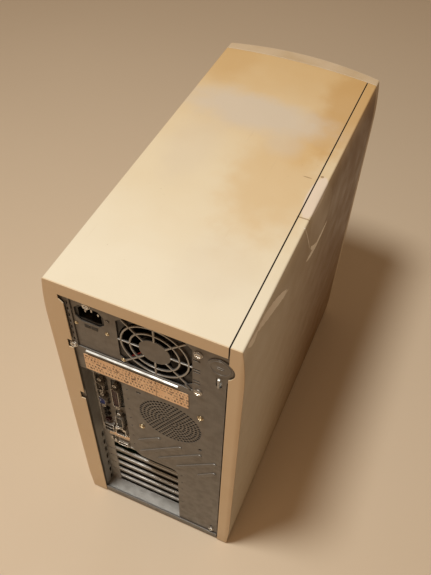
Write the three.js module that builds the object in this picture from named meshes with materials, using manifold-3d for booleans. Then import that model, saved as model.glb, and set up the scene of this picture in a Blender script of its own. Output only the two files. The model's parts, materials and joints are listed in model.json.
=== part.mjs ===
// A beige steel desktop computer tower, in millimetres.
// Frame: +Z up, the front faces -Y and the rear +Y. The origin is the centre of the footprint on the floor.
// Seen from behind, the motherboard side is on the left (+X) and the opening side panel is on the right (-X).
import * as THREE from "three";
import { mergeVertices } from "three/addons/utils/BufferGeometryUtils.js";
import Module from "manifold-3d";

const wasm = await Module();
wasm.setup();

// Driving dimensions
const WIDTH = 208;
const HEIGHT = 452;
const DEPTH = 460;
const SHEET = 1.2;
const GAP = 0.4;
const SLOT_PITCH = 20.32;
const SLOT_COUNT = 7;
const FAN = 80;
const FAN_DEEP = 25;
const RECESS_DEPTH = 18.6; // from the rear plane to the port plate
const BAY_HIGH = 42;

// Casing outline
const HALF = WIDTH / 2;
const REAR = DEPTH / 2;
const FRONT = -DEPTH / 2;
const SKIRT_Z = 1.6;
const SKIRT_INSET = 2.4;
const SKIRT_TOP = 40;
const SHOULDER_INSET = 4.3;
const SHOULDER_Z = HEIGHT - 60;
const CORNER = 2.2;
const BEZEL_SAG = 17.5;
const SEAM_SAG = 10;
const SEAM_FRONT = FRONT + 18.5;
const BEZEL_WALL = 2.5;
const SPLIT_X = -87.6;
const FLANGE_TOP_Z = 435;
const FLANGE_SIDE_X = 81;
const FLANGE_INNER = REAR - SHEET;

// Chassis
const FOOT_HIGH = 3.6;
const FOOT_R = 10;
const BASE_Z = FOOT_HIGH + GAP;
const PANEL_OUT = REAR - 2.6;
const PANEL_IN = PANEL_OUT - SHEET;
const PANEL_LOW = 6.6;
const CHASSIS_HALF = 98;
const CHASSIS_TOP = HEIGHT - SHEET - GAP;
const FRONT_PLATE = -199;
const RECESS_FLOOR = REAR - RECESS_DEPTH;
const RECESS_LEFT = 80.6;
const RECESS_TOP = 315;
const RECESS_LOW = 11;
const IO_RIGHT = 30.9;
const IO_STEP_Z = 170.8;
const SLOT_TOP = 156.6;
const SLOT_RIGHT = -31.2;
const FIRST_SLOT_Z = 139.6;
const SLOT_HIGH = 12.9;
const SLOT_X0 = -28;
const SLOT_X1 = 67.6;
const OPEN_SLOT = 1; // counted from the top, the card position that has lost its cover
const IO_X0 = 34.7;
const IO_X1 = 79.2;
const IO_Z0 = 154.4;
const IO_Z1 = 311.8;
const BOARD_FACE = 75.4;
const BOARD_THICK = 1.6;
const STANDOFF = 6.5;

// Power supply and fans
const PSU_X1 = 86.6;
const PSU_X0 = PSU_X1 - 150;
const PSU_Z0 = 350.7;
const PSU_Z1 = PSU_Z0 + 86;
const PSU_REAR = PANEL_IN - GAP;
const PSU_FRONT = PSU_REAR - 140;
const PSU_FAN = { x: -11.2, z: 393 };
const CASE_FAN = { x: -24.6, z: 272.3 };
const INLET = { x: 57.3, z: 412.2, wide: 32, high: 24 };
const TAB = { x: -79.5, z: 413, r: 13 };
const LOOP = { x: -78.6, z: 387 };

// Drive bays
const DRIVE_FACE = FRONT + 10.5;
const BAY_TOP_Z = 427.5;
const BAY_WIDE = 148;
const FLOPPY_Z = 317;
const FLOPPY_HALF = { x: 51.6, z: 13.3 }; // the opening round a 3.5 inch drive
const DISK_Z = 277;
const CAGE_NARROW = 51.4;
const PAST = 1; // how far a cutting tool runs past the face it opens

// ---------- solids ----------

function solid(geometry) {
  const bare = geometry.index ? geometry.toNonIndexed() : geometry;
  bare.deleteAttribute("normal");
  bare.deleteAttribute("uv");
  const merged = mergeVertices(bare, 1e-4);
  return new wasm.Manifold(
    new wasm.Mesh({
      numProp: 3,
      vertProperties: merged.attributes.position.array,
      triVerts: new Uint32Array(merged.index.array),
    }),
  );
}

function box(x0, x1, y0, y1, z0, z1) {
  const g = new THREE.BoxGeometry(x1 - x0, y1 - y0, z1 - z0);
  g.translate((x0 + x1) / 2, (y0 + y1) / 2, (z0 + z1) / 2);
  return solid(g);
}

// A cylinder from `from` to `to` along one axis. `a` and `b` are its place on the other two, in X, Y, Z order.
function rod(axis, a, b, from, to, radius, sides = 16) {
  const g = new THREE.CylinderGeometry(radius, radius, to - from, sides);
  const middle = (from + to) / 2;
  if (axis === "x") g.rotateZ(Math.PI / 2).translate(middle, a, b);
  if (axis === "y") g.translate(a, middle, b);
  if (axis === "z") g.rotateX(Math.PI / 2).translate(a, b, middle);
  return solid(g);
}

// A shape drawn in X and Z, extruded along Y.
function plateY(shape, y0, y1, curveSegments = 8) {
  const g = new THREE.ExtrudeGeometry(shape, { depth: y1 - y0, bevelEnabled: false, curveSegments });
  g.rotateX(Math.PI / 2).translate(0, y1, 0);
  return solid(g);
}

// A shape drawn in X and Y, extruded along Z.
function plateZ(shape, z0, z1, curveSegments = 8) {
  const g = new THREE.ExtrudeGeometry(shape, { depth: z1 - z0, bevelEnabled: false, curveSegments });
  g.translate(0, 0, z0);
  return solid(g);
}

// A shape drawn in Y and Z, extruded along X.
function plateX(shape, x0, x1, curveSegments = 8) {
  const g = new THREE.ExtrudeGeometry(shape, { depth: x1 - x0, bevelEnabled: false, curveSegments });
  g.rotateZ(Math.PI / 2).rotateY(Math.PI / 2).translate(x0, 0, 0);
  return solid(g);
}

const join = (parts) => parts.reduce((whole, part) => whole.add(part));
const cut = (body, tools) => tools.reduce((whole, tool) => whole.subtract(tool), body);

function polygon(points) {
  const shape = new THREE.Shape();
  points.forEach(([a, b], i) => (i ? shape.lineTo(a, b) : shape.moveTo(a, b)));
  shape.closePath();
  return shape;
}

// A rectangle with equal corner chamfers, centred on (a, b).
function chamfered(a, b, wide, high, chamfer) {
  const w = wide / 2;
  const h = high / 2;
  return polygon([
    [a - w + chamfer, b - h],
    [a + w - chamfer, b - h],
    [a + w, b - h + chamfer],
    [a + w, b + h - chamfer],
    [a + w - chamfer, b + h],
    [a - w + chamfer, b + h],
    [a - w, b + h - chamfer],
    [a - w, b - h + chamfer],
  ]);
}

function ring(a, b, outer, inner) {
  const shape = new THREE.Shape();
  shape.absarc(a, b, outer, 0, 2 * Math.PI, false);
  const hole = new THREE.Path();
  hole.absarc(a, b, inner, 0, 2 * Math.PI, true);
  shape.holes.push(hole);
  return shape;
}

// ---------- finishes ----------

const FINISH = {
  cover: { color: 0xe6d3ac, roughness: 0.5, metalness: 0.1 },
  bezel: { color: 0xdccfb6, roughness: 0.55, metalness: 0 },
  steel: { color: 0x8c8578, roughness: 0.42, metalness: 0.8 },
  bright: { color: 0xd8d5cd, roughness: 0.28, metalness: 0.95 },
  black: { color: 0x15151a, roughness: 0.5, metalness: 0 },
  rubber: { color: 0x2a2a2c, roughness: 0.85, metalness: 0 },
  board: { color: 0x2c5a3c, roughness: 0.5, metalness: 0 },
  paper: { color: 0xe8cf9e, roughness: 0.7, metalness: 0 },
  ribbon: { color: 0x9d9c9a, roughness: 0.6, metalness: 0 },
  blue: { color: 0x2c3f7a, roughness: 0.45, metalness: 0 },
  burgundy: { color: 0x6b2435, roughness: 0.45, metalness: 0 },
  drive: { color: 0xd9ccb2, roughness: 0.55, metalness: 0 },
  lens: { color: 0x6fae54, roughness: 0.2, metalness: 0 },
};

const tower = new THREE.Group();

function piece(name, body, finish) {
  const made = body.getMesh();
  const g = new THREE.BufferGeometry();
  g.setAttribute("position", new THREE.BufferAttribute(made.vertProperties, 3));
  g.setIndex(new THREE.BufferAttribute(made.triVerts, 1));
  g.computeVertexNormals();
  const mesh = new THREE.Mesh(g, new THREE.MeshStandardMaterial(FINISH[finish]));
  mesh.name = name;
  tower.add(mesh);
}

// ---------- casing ----------

// The casing's section in X and Z: straight sides, a slight taper at the skirt and a soft shoulder at the top.
function casingSection(inset, low) {
  const side = HALF - inset;
  const foot = side - SKIRT_INSET;
  const edge = side - SHOULDER_INSET;
  const top = HEIGHT - inset;
  const bend = (SHOULDER_Z + HEIGHT) / 2;
  const s = new THREE.Shape();
  s.moveTo(-foot, low);
  s.lineTo(foot, low);
  s.lineTo(side, SKIRT_TOP);
  s.lineTo(side, SHOULDER_Z);
  s.quadraticCurveTo(side, bend, edge, top - CORNER);
  s.quadraticCurveTo(edge, top, edge - CORNER, top);
  s.lineTo(CORNER - edge, top);
  s.quadraticCurveTo(-edge, top, -edge, top - CORNER);
  s.quadraticCurveTo(-side, bend, -side, SHOULDER_Z);
  s.lineTo(-side, SKIRT_TOP);
  s.closePath();
  return s;
}

// A plan outline between a bowed front edge and a straight or bowed rear edge.
function bowedPlan(half, frontY, frontSag, rearY, rearSag) {
  const s = new THREE.Shape();
  s.moveTo(half, rearY + rearSag);
  s.quadraticCurveTo(0, rearY - rearSag, -half, rearY + rearSag);
  s.lineTo(-half, frontY + frontSag);
  s.quadraticCurveTo(0, frontY - frontSag, half, frontY + frontSag);
  s.closePath();
  return s;
}

const wide = HALF + 5;

function sheetCasing() {
  const plan = plateZ(bowedPlan(wide, SEAM_FRONT + GAP, SEAM_SAG, REAR, 0), -1, HEIGHT + 1, 10);
  const outer = plateY(casingSection(0, SKIRT_Z), FRONT, REAR).intersect(plan);
  return outer.subtract(plateY(casingSection(SHEET, -5), FRONT - 1, FLANGE_INNER));
}

function rearWindow() {
  const bevel = 5;
  const earHigh = 6; // the widened top corner above the bevel
  const low = -5;
  const right = SPLIT_X - 1;
  const notchHigh = 13;
  const notchDeep = 5.5;
  const bevelZ = FLANGE_TOP_Z - earHigh - bevel;
  const corners = [
    [right, low],
    [FLANGE_SIDE_X, low],
    [FLANGE_SIDE_X, bevelZ],
    [FLANGE_SIDE_X + bevel, bevelZ + bevel],
    [FLANGE_SIDE_X + bevel, FLANGE_TOP_Z],
    [right, FLANGE_TOP_Z],
  ];
  const catchZ = 257;
  const inside = REAR - 4 * SHEET;
  const half = notchHigh / 2;
  const notches = [supplyScrews()[2][1] + 1, catchZ].map((z) =>
    box(FLANGE_SIDE_X - 1, FLANGE_SIDE_X + notchDeep, inside, REAR + PAST, z - half, z + half),
  );
  return join([plateY(polygon(corners), inside, REAR + PAST), ...notches]);
}

function coverAndPanel() {
  const casing = sheetCasing();
  const seam = 0.8;
  const coverSide = box(SPLIT_X + seam / 2, wide, FRONT - 1, REAR + 1, -5, HEIGHT + 1);
  const panelSide = box(-wide, SPLIT_X - seam / 2, FRONT - 1, REAR + 1, -5, HEIGHT + 1);
  const lipWide = 8;
  const panelLip = box(
    -HALF + SKIRT_INSET + 0.5,
    -HALF + SKIRT_INSET + lipWide,
    FRONT_PLATE,
    REAR - SHEET / 2,
    SKIRT_Z,
    SKIRT_Z + SHEET,
  );
  const tabNotch = rod("y", TAB.x, TAB.z, REAR - 5, REAR + 1, TAB.r + 1.8, 28);
  piece("top_cover", casing.intersect(coverSide).subtract(rearWindow()), "cover");
  piece("side_panel", casing.intersect(panelSide).add(panelLip).subtract(tabNotch), "cover");
}

// ---------- front ----------

const bayZ = [BAY_TOP_Z - BAY_HIGH / 2, BAY_TOP_Z - BAY_HIGH * 1.5 - 3];
const BUTTON_X = 70;
const POWER = { x: BUTTON_X, z: FLOPPY_Z + 6, r: 8 };
const LEDS = [FLOPPY_Z + 4, FLOPPY_Z - 6];
const LED_R = 2.5;
const bezelFrontAt = (x) => FRONT + BEZEL_SAG * (x / HALF) ** 2;

function floppyOpening(y0, y1) {
  return box(-FLOPPY_HALF.x, FLOPPY_HALF.x, y0, y1, FLOPPY_Z - FLOPPY_HALF.z, FLOPPY_Z + FLOPPY_HALF.z);
}

function frontBezel() {
  const outer = plateZ(bowedPlan(wide, FRONT, BEZEL_SAG, SEAM_FRONT, SEAM_SAG), -1, HEIGHT + 1, 10);
  const body = outer.intersect(plateY(casingSection(0, SKIRT_Z), FRONT - 1, FRONT + 60));
  const innerPlan = bowedPlan(wide, FRONT + BEZEL_WALL, BEZEL_SAG, FRONT + 60, 0);
  const hollow = plateZ(innerPlan, -1, HEIGHT + 1, 10).intersect(
    plateY(casingSection(BEZEL_WALL, SKIRT_Z + BEZEL_WALL), FRONT - 1, FRONT + 70),
  );
  const half = BAY_WIDE / 2 + 2 * GAP;
  const bayHalf = BAY_HIGH / 2 + 0.6;
  const through = FRONT + 30;
  const bays = bayZ.map((z) => box(-half, half, FRONT - PAST, 0, z - bayHalf, z + bayHalf));
  const floppy = floppyOpening(FRONT - PAST, 0);
  const vent = { count: 7, half: 62, low: 40, pitch: 12, high: 4.5 };
  const vents = Array.from({ length: vent.count }, (_, i) => vent.low + vent.pitch * i).map((z) =>
    box(-vent.half, vent.half, FRONT - PAST, through, z, z + vent.high),
  );
  const controls = [
    rod("y", POWER.x, POWER.z, FRONT - PAST, through, POWER.r + GAP, 24),
    ...LEDS.map((z) => rod("y", -BUTTON_X, z, FRONT - PAST, through, LED_R + GAP, 12)),
  ];
  piece("front_bezel", cut(body.subtract(hollow), [...bays, floppy, ...vents, ...controls]), "bezel");
}

function bayCover() {
  const z = bayZ[1];
  const half = BAY_WIDE / 2;
  const plan = plateZ(bowedPlan(wide, FRONT, BEZEL_SAG, FRONT + 3, BEZEL_SAG), -1, HEIGHT, 10);
  const skin = plan.intersect(box(-half, half, FRONT - 1, 0, z - BAY_HIGH / 2, z + BAY_HIGH / 2));
  const tongues = [-half + 4, half - 4].map((x) =>
    box(x - 2, x + 2, bezelFrontAt(x) + 1, FRONT_PLATE - 1, z - 8, z + 8),
  );
  piece("bay_cover", join([skin, ...tongues]), "bezel");
}

function buttonsAndLights() {
  const stem = 12;
  const powerY = bezelFrontAt(POWER.x) - 1.2;
  const power = join([
    rod("y", POWER.x, POWER.z, powerY, powerY + 7, POWER.r, 24),
    rod("y", POWER.x, POWER.z, powerY + 6, powerY + stem, 3, 12),
  ]);
  piece("power_button", power, "bezel");
  const lightY = bezelFrontAt(BUTTON_X) - 0.2;
  const tips = LEDS.map((z) => rod("y", -BUTTON_X, z, lightY, lightY + 9, LED_R, 12));
  const bridge = box(-BUTTON_X - 4, -BUTTON_X + 4, lightY + 7, lightY + 9, LEDS[1] - 4, LEDS[0] + 4);
  piece("light_pipe", join([...tips, bridge]), "lens");
}

// ---------- chassis ----------

function basePan() {
  const x = CHASSIS_HALF - 1;
  const railHigh = 10;
  const sideHigh = 14;
  const y0 = FRONT_PLATE + SHEET + GAP;
  const y1 = FLANGE_INNER - GAP;
  const floor = box(-x, x, y0, y1, BASE_Z, BASE_Z + SHEET);
  const sides = [1 - x, x - 1 - SHEET].map((a) =>
    box(a, a + SHEET, y0 + 2, PANEL_IN - GAP, BASE_Z + 0.5, BASE_Z + sideHigh),
  );
  const railFace = y1 + 1;
  const railEnd = FLANGE_SIDE_X - GAP;
  const rail = box(SPLIT_X + 1, railEnd, railFace - 1.6, railFace, BASE_Z - 0.3, BASE_Z + railHigh);
  const seats = footPlaces().map(([a, b]) => rod("z", a, b, BASE_Z - 1, BASE_Z + 5, 2.2, 10));
  piece("base_pan", cut(join([floor, ...sides, rail]), seats), "steel");
}

const footPlaces = () => [-72, 72].flatMap((x) => [-165, 185].map((y) => [x, y]));

function feet() {
  footPlaces().forEach(([x, y], i) => {
    const profile = [
      [0, 0],
      [FOOT_R - 1, 0],
      [FOOT_R, 1],
      [FOOT_R - 0.6, FOOT_HIGH],
      [1.9, FOOT_HIGH],
      [1.9, FOOT_HIGH + 3],
      [0, FOOT_HIGH + 3],
    ];
    const g = new THREE.LatheGeometry(profile.map(([a, b]) => new THREE.Vector2(a, b)), 14);
    g.rotateX(Math.PI / 2).translate(x, y, 0);
    piece("foot_" + (i + 1), solid(g), "rubber");
  });
}

// The outline of the recess that holds the ports and the card slots.
function recessOutline(grow) {
  const round = 8;
  const s = new THREE.Shape();
  const right = SLOT_RIGHT - grow;
  const top = SLOT_TOP + grow;
  const low = RECESS_LOW - grow;
  s.moveTo(RECESS_LEFT + grow, low);
  s.lineTo(RECESS_LEFT + grow, RECESS_TOP + grow);
  s.lineTo(IO_RIGHT - grow, RECESS_TOP + grow);
  s.lineTo(IO_RIGHT - grow, IO_STEP_Z);
  s.lineTo(IO_RIGHT - grow - (IO_STEP_Z - top), top);
  s.lineTo(right + round, top);
  s.quadraticCurveTo(right, top, right, top - round);
  s.lineTo(right, low);
  s.closePath();
  return s;
}

function ventHoles() {
  const holeR = 3.4;
  const pitch = 8.6;
  const rings = 4;
  const hole = (x, z) => rod("y", x, z, PANEL_IN - PAST, PANEL_OUT + PAST, holeR, 6);
  const holes = [hole(CASE_FAN.x, CASE_FAN.z)];
  for (let k = 1; k <= rings; k++) {
    const count = 6 * k;
    for (let i = 0; i < count; i++) {
      const turn = (2 * Math.PI * i) / count;
      holes.push(hole(CASE_FAN.x + pitch * k * Math.cos(turn), CASE_FAN.z + pitch * k * Math.sin(turn)));
    }
  }
  return holes;
}

function rearPanel() {
  const x = CHASSIS_HALF;
  const sheet = box(-x, x, PANEL_IN, PANEL_OUT, PANEL_LOW, CHASSIS_TOP - 2);
  const [earX, earZ] = supplyScrews()[3];
  const earR = 5.2;
  const ear = join([
    rod("y", earX, earZ, PANEL_IN, PANEL_OUT, earR, 16),
    box(earX - earR, earX + earR, PANEL_IN, PANEL_OUT, earZ, earZ + 8),
  ]);
  const supplyWindow = box(-51.3, 76, PANEL_IN - PAST, PANEL_OUT + PAST, 355.5, 433);
  const recess = plateY(recessOutline(0), PANEL_IN - 1, PANEL_OUT + 1);
  const lip = box(-36, 67.5, PANEL_IN, PANEL_OUT + 1.7, 350, 354.5);
  const tab = rod("y", TAB.x, TAB.z, PANEL_IN, PANEL_OUT + SHEET, TAB.r, 28);
  // Slanted stiffening ribs below the fan, each from its lower left to its upper right end.
  const ribHalf = 1.8;
  const ribProud = 0.9;
  const ribs = [
    [16.5, 198, -8.9, 222.2],
    [15.5, 170.7, -35.4, 221.1],
    [-8.9, 172.7, -59.8, 222.2],
    [-32.3, 170.7, -78, 215.1],
    [-59.8, 170.7, -78, 190.9],
  ].map(([x0, z0, x1, z1]) => {
    const outline = [
      [x1, z1 - ribHalf],
      [x1, z1 + ribHalf],
      [x0, z0 + ribHalf],
      [x0, z0 - ribHalf],
    ];
    return plateY(polygon(outline), PANEL_IN, PANEL_OUT + ribProud);
  });
  const loopSlot = plateY(chamfered(LOOP.x, LOOP.z, 7.4, 17, 3), PANEL_IN - 1, PANEL_OUT + 1);
  const screwHoles = [...supplyScrews(), ...fanScrews()].map(([a, b]) =>
    rod("y", a, b, PANEL_IN - 1, PANEL_OUT + 2, 2.1, 10),
  );
  const punched = cut(join([sheet.subtract(supplyWindow), ear, lip, tab, ...ribs]), [
    recess,
    loopSlot,
    ...screwHoles,
    ...ventHoles(),
  ]);
  piece("rear_panel", punched, "steel");
}

// The recess is a flat floor with the port and card openings, inside a folded wall.
function recess() {
  const wall = 1;
  const back = PANEL_IN - GAP;
  const y0 = RECESS_FLOOR - wall;
  const room = plateY(recessOutline(0), y0 - PAST, back + PAST);
  piece("recess_wall", plateY(recessOutline(wall), y0, back).subtract(room), "steel");
  const edge = 1.5;
  const low = y0 - PAST;
  const high = RECESS_FLOOR + PAST;
  const portWindow = box(IO_X0 + edge, IO_X1 - edge, low, high, IO_Z0 + edge, IO_Z1 - edge);
  const half = SLOT_HIGH / 2;
  const slots = slotCentres().map((z) => box(SLOT_X0, SLOT_X1, low, high, z - half, z + half));
  const sheet = plateY(recessOutline(-GAP), y0, RECESS_FLOOR);
  piece("recess_floor", cut(sheet, [portWindow, ...slots]), "steel");
}

const slotCentres = () => Array.from({ length: SLOT_COUNT }, (_, i) => FIRST_SLOT_Z - SLOT_PITCH * i);

// The flat blade that closes one card position, with a narrow tongue at its outer end.
function slotBlade(z) {
  const y1 = RECESS_FLOOR - 1 - GAP;
  const y0 = y1 - 0.9;
  const half = 9.2;
  const blade = box(SLOT_RIGHT - 3, SLOT_X1, y0, y1, z - half, z + half);
  const tongue = box(SLOT_X1 - 1.6, RECESS_LEFT - 1.6, y0, y1, z - 5, z + 5);
  return join([blade, tongue]);
}

function slotCovers() {
  slotCentres().forEach((z, i) => {
    if (i > OPEN_SLOT) piece("slot_cover_" + (i + 1), slotBlade(z), "bright");
  });
}

function cardBracket() {
  const z = slotCentres()[0];
  const y0 = RECESS_FLOOR - 2;
  const outlets = [
    box(44, 58, y0, RECESS_FLOOR + 4, z - 5, z + 3),
    rod("y", 62.4, z - 0.6, y0, RECESS_FLOOR + 3, 1.9, 16),
    rod("y", 20, z, y0, RECESS_FLOOR + 2.5, 4.2, 16),
  ];
  piece("card_bracket", join([slotBlade(z), ...outlets]), "bright");
}

function motherboardTray() {
  const x0 = BOARD_FACE + BOARD_THICK + STANDOFF + GAP;
  const sheet = box(x0, x0 + SHEET, -62, RECESS_FLOOR - 4, BASE_Z + SHEET + GAP, 334);
  const flange = box(x0, CHASSIS_HALF - 4, -62, -62 + SHEET, BASE_Z + SHEET + GAP, 334);
  const grommet = box(x0 - 1, x0 + SHEET + 1, -52, -40, 120, 220);
  piece("motherboard_tray", join([sheet, flange]).subtract(grommet), "steel");
}

function frontPlate() {
  const x = CHASSIS_HALF;
  const top = CHASSIS_TOP - 2;
  const sheet = box(-x, x, FRONT_PLATE, FRONT_PLATE + SHEET, BASE_Z, top);
  const edge = 12;
  const sides = [-x, x - SHEET].map((a) => box(a, a + SHEET, FRONT_PLATE, FRONT_PLATE + edge, 24, top));
  const half = BAY_WIDE / 2 + 2 * GAP;
  const y0 = FRONT_PLATE - PAST;
  const y1 = FRONT_PLATE + SHEET + PAST;
  const windows = [
    ...bayZ.map((z) => box(-half, half, y0, y1, z - BAY_HIGH / 2, z + BAY_HIGH / 2)),
    floppyOpening(y0, y1),
    rod("y", POWER.x, POWER.z, y0, y1, 5, 12),
  ];
  const inlet = { count: 5, half: 50, low: 40, pitch: 20, high: 10 };
  const inlets = Array.from({ length: inlet.count }, (_, i) => inlet.low + inlet.pitch * i).map((z) =>
    box(-inlet.half, inlet.half, y0, y1, z, z + inlet.high),
  );
  piece("front_plate", cut(join([sheet, ...sides]), [...windows, ...inlets]), "steel");
}

// Two rails along the top, tied by two cross-members.
function topFrame() {
  const outer = 84;
  const railWide = 14;
  const deep = 12;
  const y0 = FRONT_PLATE + SHEET + GAP;
  const y1 = PANEL_IN - GAP;
  const plate = box(-outer, outer, y0, y1, CHASSIS_TOP - SHEET, CHASSIS_TOP);
  const gaps = [
    [-176, -28],
    [-4, 196],
  ].map(([a, b]) => box(railWide - outer, outer - railWide, a, b, CHASSIS_TOP - 5, CHASSIS_TOP + 1));
  const webs = [-outer, outer - SHEET].map((x) => box(x, x + SHEET, y0, y1, CHASSIS_TOP - deep, CHASSIS_TOP));
  piece("top_frame", cut(join([plate, ...webs]), [...gaps, supplyRoom()]), "steel");
}

// The space of the power supply, with clearance, which the rails and cages keep clear of.
function supplyRoom() {
  return box(PSU_X0 - 1, PSU_X1 + 1, PSU_FRONT - 1, PSU_REAR + 1, PSU_Z0 - 1, PSU_Z1 + 1);
}

function driveCages() {
  const half = BAY_WIDE / 2 - 0.2;
  const y0 = FRONT_PLATE + SHEET + GAP;
  const wideEnd = -32;
  const narrowEnd = -46;
  const low = bayZ[1] - BAY_HIGH / 2 - 2;
  const high = bayZ[0] + BAY_HIGH / 2;
  const cheeks = [-half - SHEET, half].map((x) => box(x, x + SHEET, y0, wideEnd, low, high));
  const shelf = box(-half, half, y0, wideEnd, low, low + SHEET);
  const ledgeWide = 4;
  const ledgeZ = bayZ[1] + BAY_HIGH / 2 + GAP;
  const ledges = [-half, half - ledgeWide].map((x) => box(x, x + ledgeWide, y0, -60, ledgeZ, ledgeZ + 1));
  piece("drive_cage_wide", join([...cheeks, shelf, ...ledges]), "steel");
  const narrow = CAGE_NARROW;
  const narrowLow = DISK_Z - 20;
  const narrowHigh = low - GAP;
  const sides = [-narrow - SHEET, narrow].map((x) => box(x, x + SHEET, y0, narrowEnd, narrowLow, narrowHigh));
  const floor = box(-narrow, narrow, y0, narrowEnd, narrowLow, narrowLow + SHEET);
  const roof = box(-narrow, narrow, y0, narrowEnd, narrowHigh - SHEET, narrowHigh);
  piece("drive_cage_narrow", join([...sides, floor, roof]), "steel");
}

// ---------- fans ----------

// A block along `axis` ("x" or "y"), centred on (a, b) on the other two axes, with half sizes p and q.
function axisBlock(axis, a, b, from, to, p, q) {
  if (axis === "y") return box(a - p, a + p, from, to, b - q, b + q);
  return box(from, to, a - p, a + p, b - q, b + q);
}

// A fan's open frame: a square block with a round duct and a waist, and crossed struts behind the motor.
function fanFrame(axis, a, b, from, size, deep) {
  const h = size / 2;
  const flange = 4;
  const strut = { thick: 2, half: 1.5 };
  const duct = rod(axis, a, b, from - PAST, from + deep + PAST, h - 1.5, 32);
  const waist = axisBlock(axis, a, b, from + flange, from + deep - flange, size, size).subtract(
    rod(axis, a, b, from, from + deep, h + 0.5, 32),
  );
  const strutFrom = axis === "y" ? from : from + deep - strut.thick;
  const strutTo = strutFrom + strut.thick;
  const struts = [
    axisBlock(axis, a, b, strutFrom, strutTo, h - 1, strut.half),
    axisBlock(axis, a, b, strutFrom, strutTo, strut.half, h - 1),
  ];
  return join([cut(axisBlock(axis, a, b, from, from + deep, h, h), [duct, waist]), ...struts]);
}

function fanRotor(axis, a, b, from, to, radius, hub) {
  const blades = 7;
  const middle = (from + to) / 2;
  const pitch = Math.PI / 5;
  const chord = (to - from - 3) / Math.sin(pitch);
  const parts = [rod("y", 0, 0, from, to, hub, 24)];
  for (let i = 0; i < blades; i++) {
    const g = new THREE.BoxGeometry(radius - hub + 2, chord, 1.6);
    g.rotateX(pitch).translate((radius + hub - 2) / 2, 0, 0);
    g.rotateY((2 * Math.PI * i) / blades).translate(0, middle, 0);
    parts.push(solid(g));
  }
  const limit = rod("y", 0, 0, from, to, radius, 32);
  const rotor = join(parts).intersect(limit);
  if (axis === "y") return rotor.translate([a, 0, b]);
  return rotor.rotate([0, 0, -90]).translate([0, a, b]);
}

// The four screws of an 80 mm fan stand on a 71.5 mm square.
const FAN_SCREWS = [-71.5 / 2, 71.5 / 2];
const fanScrews = () => FAN_SCREWS.flatMap((dx) => FAN_SCREWS.map((dz) => [CASE_FAN.x + dx, CASE_FAN.z + dz]));

const ROTOR = { radius: 36.5, hub: 17, clear: 3 };

// The rotor of an 80 mm fan whose frame ends at y1.
function supplyRotor(place, y1) {
  const from = y1 - FAN_DEEP + ROTOR.clear;
  return fanRotor("y", place.x, place.z, from, y1 - ROTOR.clear, ROTOR.radius, ROTOR.hub);
}

function caseFan() {
  const y1 = PANEL_IN - GAP;
  piece("case_fan_frame", fanFrame("y", CASE_FAN.x, CASE_FAN.z, y1 - FAN_DEEP, FAN, FAN_DEEP), "black");
  piece("case_fan_rotor", supplyRotor(CASE_FAN, y1), "black");
}

// ---------- power supply ----------

// The four screws of a standard power supply, from its lower corner nearest the side panel.
const supplyScrews = () => [
  [PSU_X0 + 6, PSU_Z0 + 70],
  [PSU_X0 + 6, PSU_Z0 + 6],
  [PSU_X0 + 144, PSU_Z0 + 6],
  [PSU_X0 + 120, PSU_Z0 + 80],
];

function powerSupply() {
  const shell = box(PSU_X0, PSU_X1, PSU_FRONT, PSU_REAR, PSU_Z0, PSU_Z1);
  const room = box(
    PSU_X0 + SHEET,
    PSU_X1 - SHEET,
    PSU_FRONT + SHEET,
    PSU_REAR - SHEET,
    PSU_Z0 + SHEET,
    PSU_Z1 - SHEET,
  );
  const windowWide = 79;
  const octagon = chamfered(PSU_FAN.x, PSU_FAN.z, windowWide, windowWide, 11.5);
  const fanWindow = plateY(octagon, PSU_REAR - 2, PSU_REAR + PAST);
  const hoop = (r) => plateY(ring(PSU_FAN.x, PSU_FAN.z, r + 1, r - 1), PSU_REAR - SHEET, PSU_REAR, 14);
  const grille = [
    rod("y", PSU_FAN.x, PSU_FAN.z, PSU_REAR - SHEET, PSU_REAR, 17, 28),
    ...[26.4, 36].map(hoop),
  ];
  for (let i = 0; i < 4; i++) {
    const bar = new THREE.BoxGeometry(i % 2 ? 97 : windowWide + 0.6, SHEET, 2.3);
    bar.rotateY((Math.PI / 4) * i).translate(PSU_FAN.x, PSU_REAR - SHEET / 2, PSU_FAN.z);
    grille.push(solid(bar));
  }
  const inletShape = chamfered(INLET.x, INLET.z, INLET.wide, INLET.high, 6);
  const inletWindow = plateY(inletShape, PSU_REAR - 2, PSU_REAR + PAST);
  const vents = Array.from({ length: 8 }, (_, i) =>
    box(PSU_X0 + 14 + 16 * i, PSU_X0 + 22 + 16 * i, PSU_FRONT - 1, PSU_FRONT + 2, PSU_Z0 + 14, PSU_Z1 - 14),
  );
  const leads = rod("y", 70, PSU_Z0 + 12, PSU_FRONT - 1, PSU_FRONT + 2, 7.5, 16);
  const holes = supplyScrews().map(([x, z]) => rod("y", x, z, PSU_REAR - 2, PSU_REAR + 1, 2, 10));
  const open = cut(shell.subtract(room), [fanWindow, inletWindow, ...vents, leads, ...holes]);
  piece("psu_case", join([open, ...grille]), "steel");
  const y1 = PSU_REAR - SHEET - GAP;
  piece("psu_fan_frame", fanFrame("y", PSU_FAN.x, PSU_FAN.z, y1 - FAN_DEEP, FAN, FAN_DEEP), "black");
  piece("psu_fan_rotor", supplyRotor(PSU_FAN, y1), "black");
  const deckZ = PSU_Z0 + 6;
  const deck = box(PSU_X0 + 10, PSU_X1 - 6, PSU_FRONT + 10, PSU_FRONT + 92, deckZ, deckZ + BOARD_THICK);
  const coils = [-40, 0, 40].map((x) => rod("z", x, PSU_FRONT + 50, deckZ + 1, deckZ + 30, 13, 16));
  const sinks = [-20, 20].map((x) => box(x - 1.5, x + 1.5, PSU_FRONT + 16, PSU_FRONT + 88, deckZ + 1, deckZ + 54));
  piece("psu_circuit", join([deck, ...coils, ...sinks]), "board");
}

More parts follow.
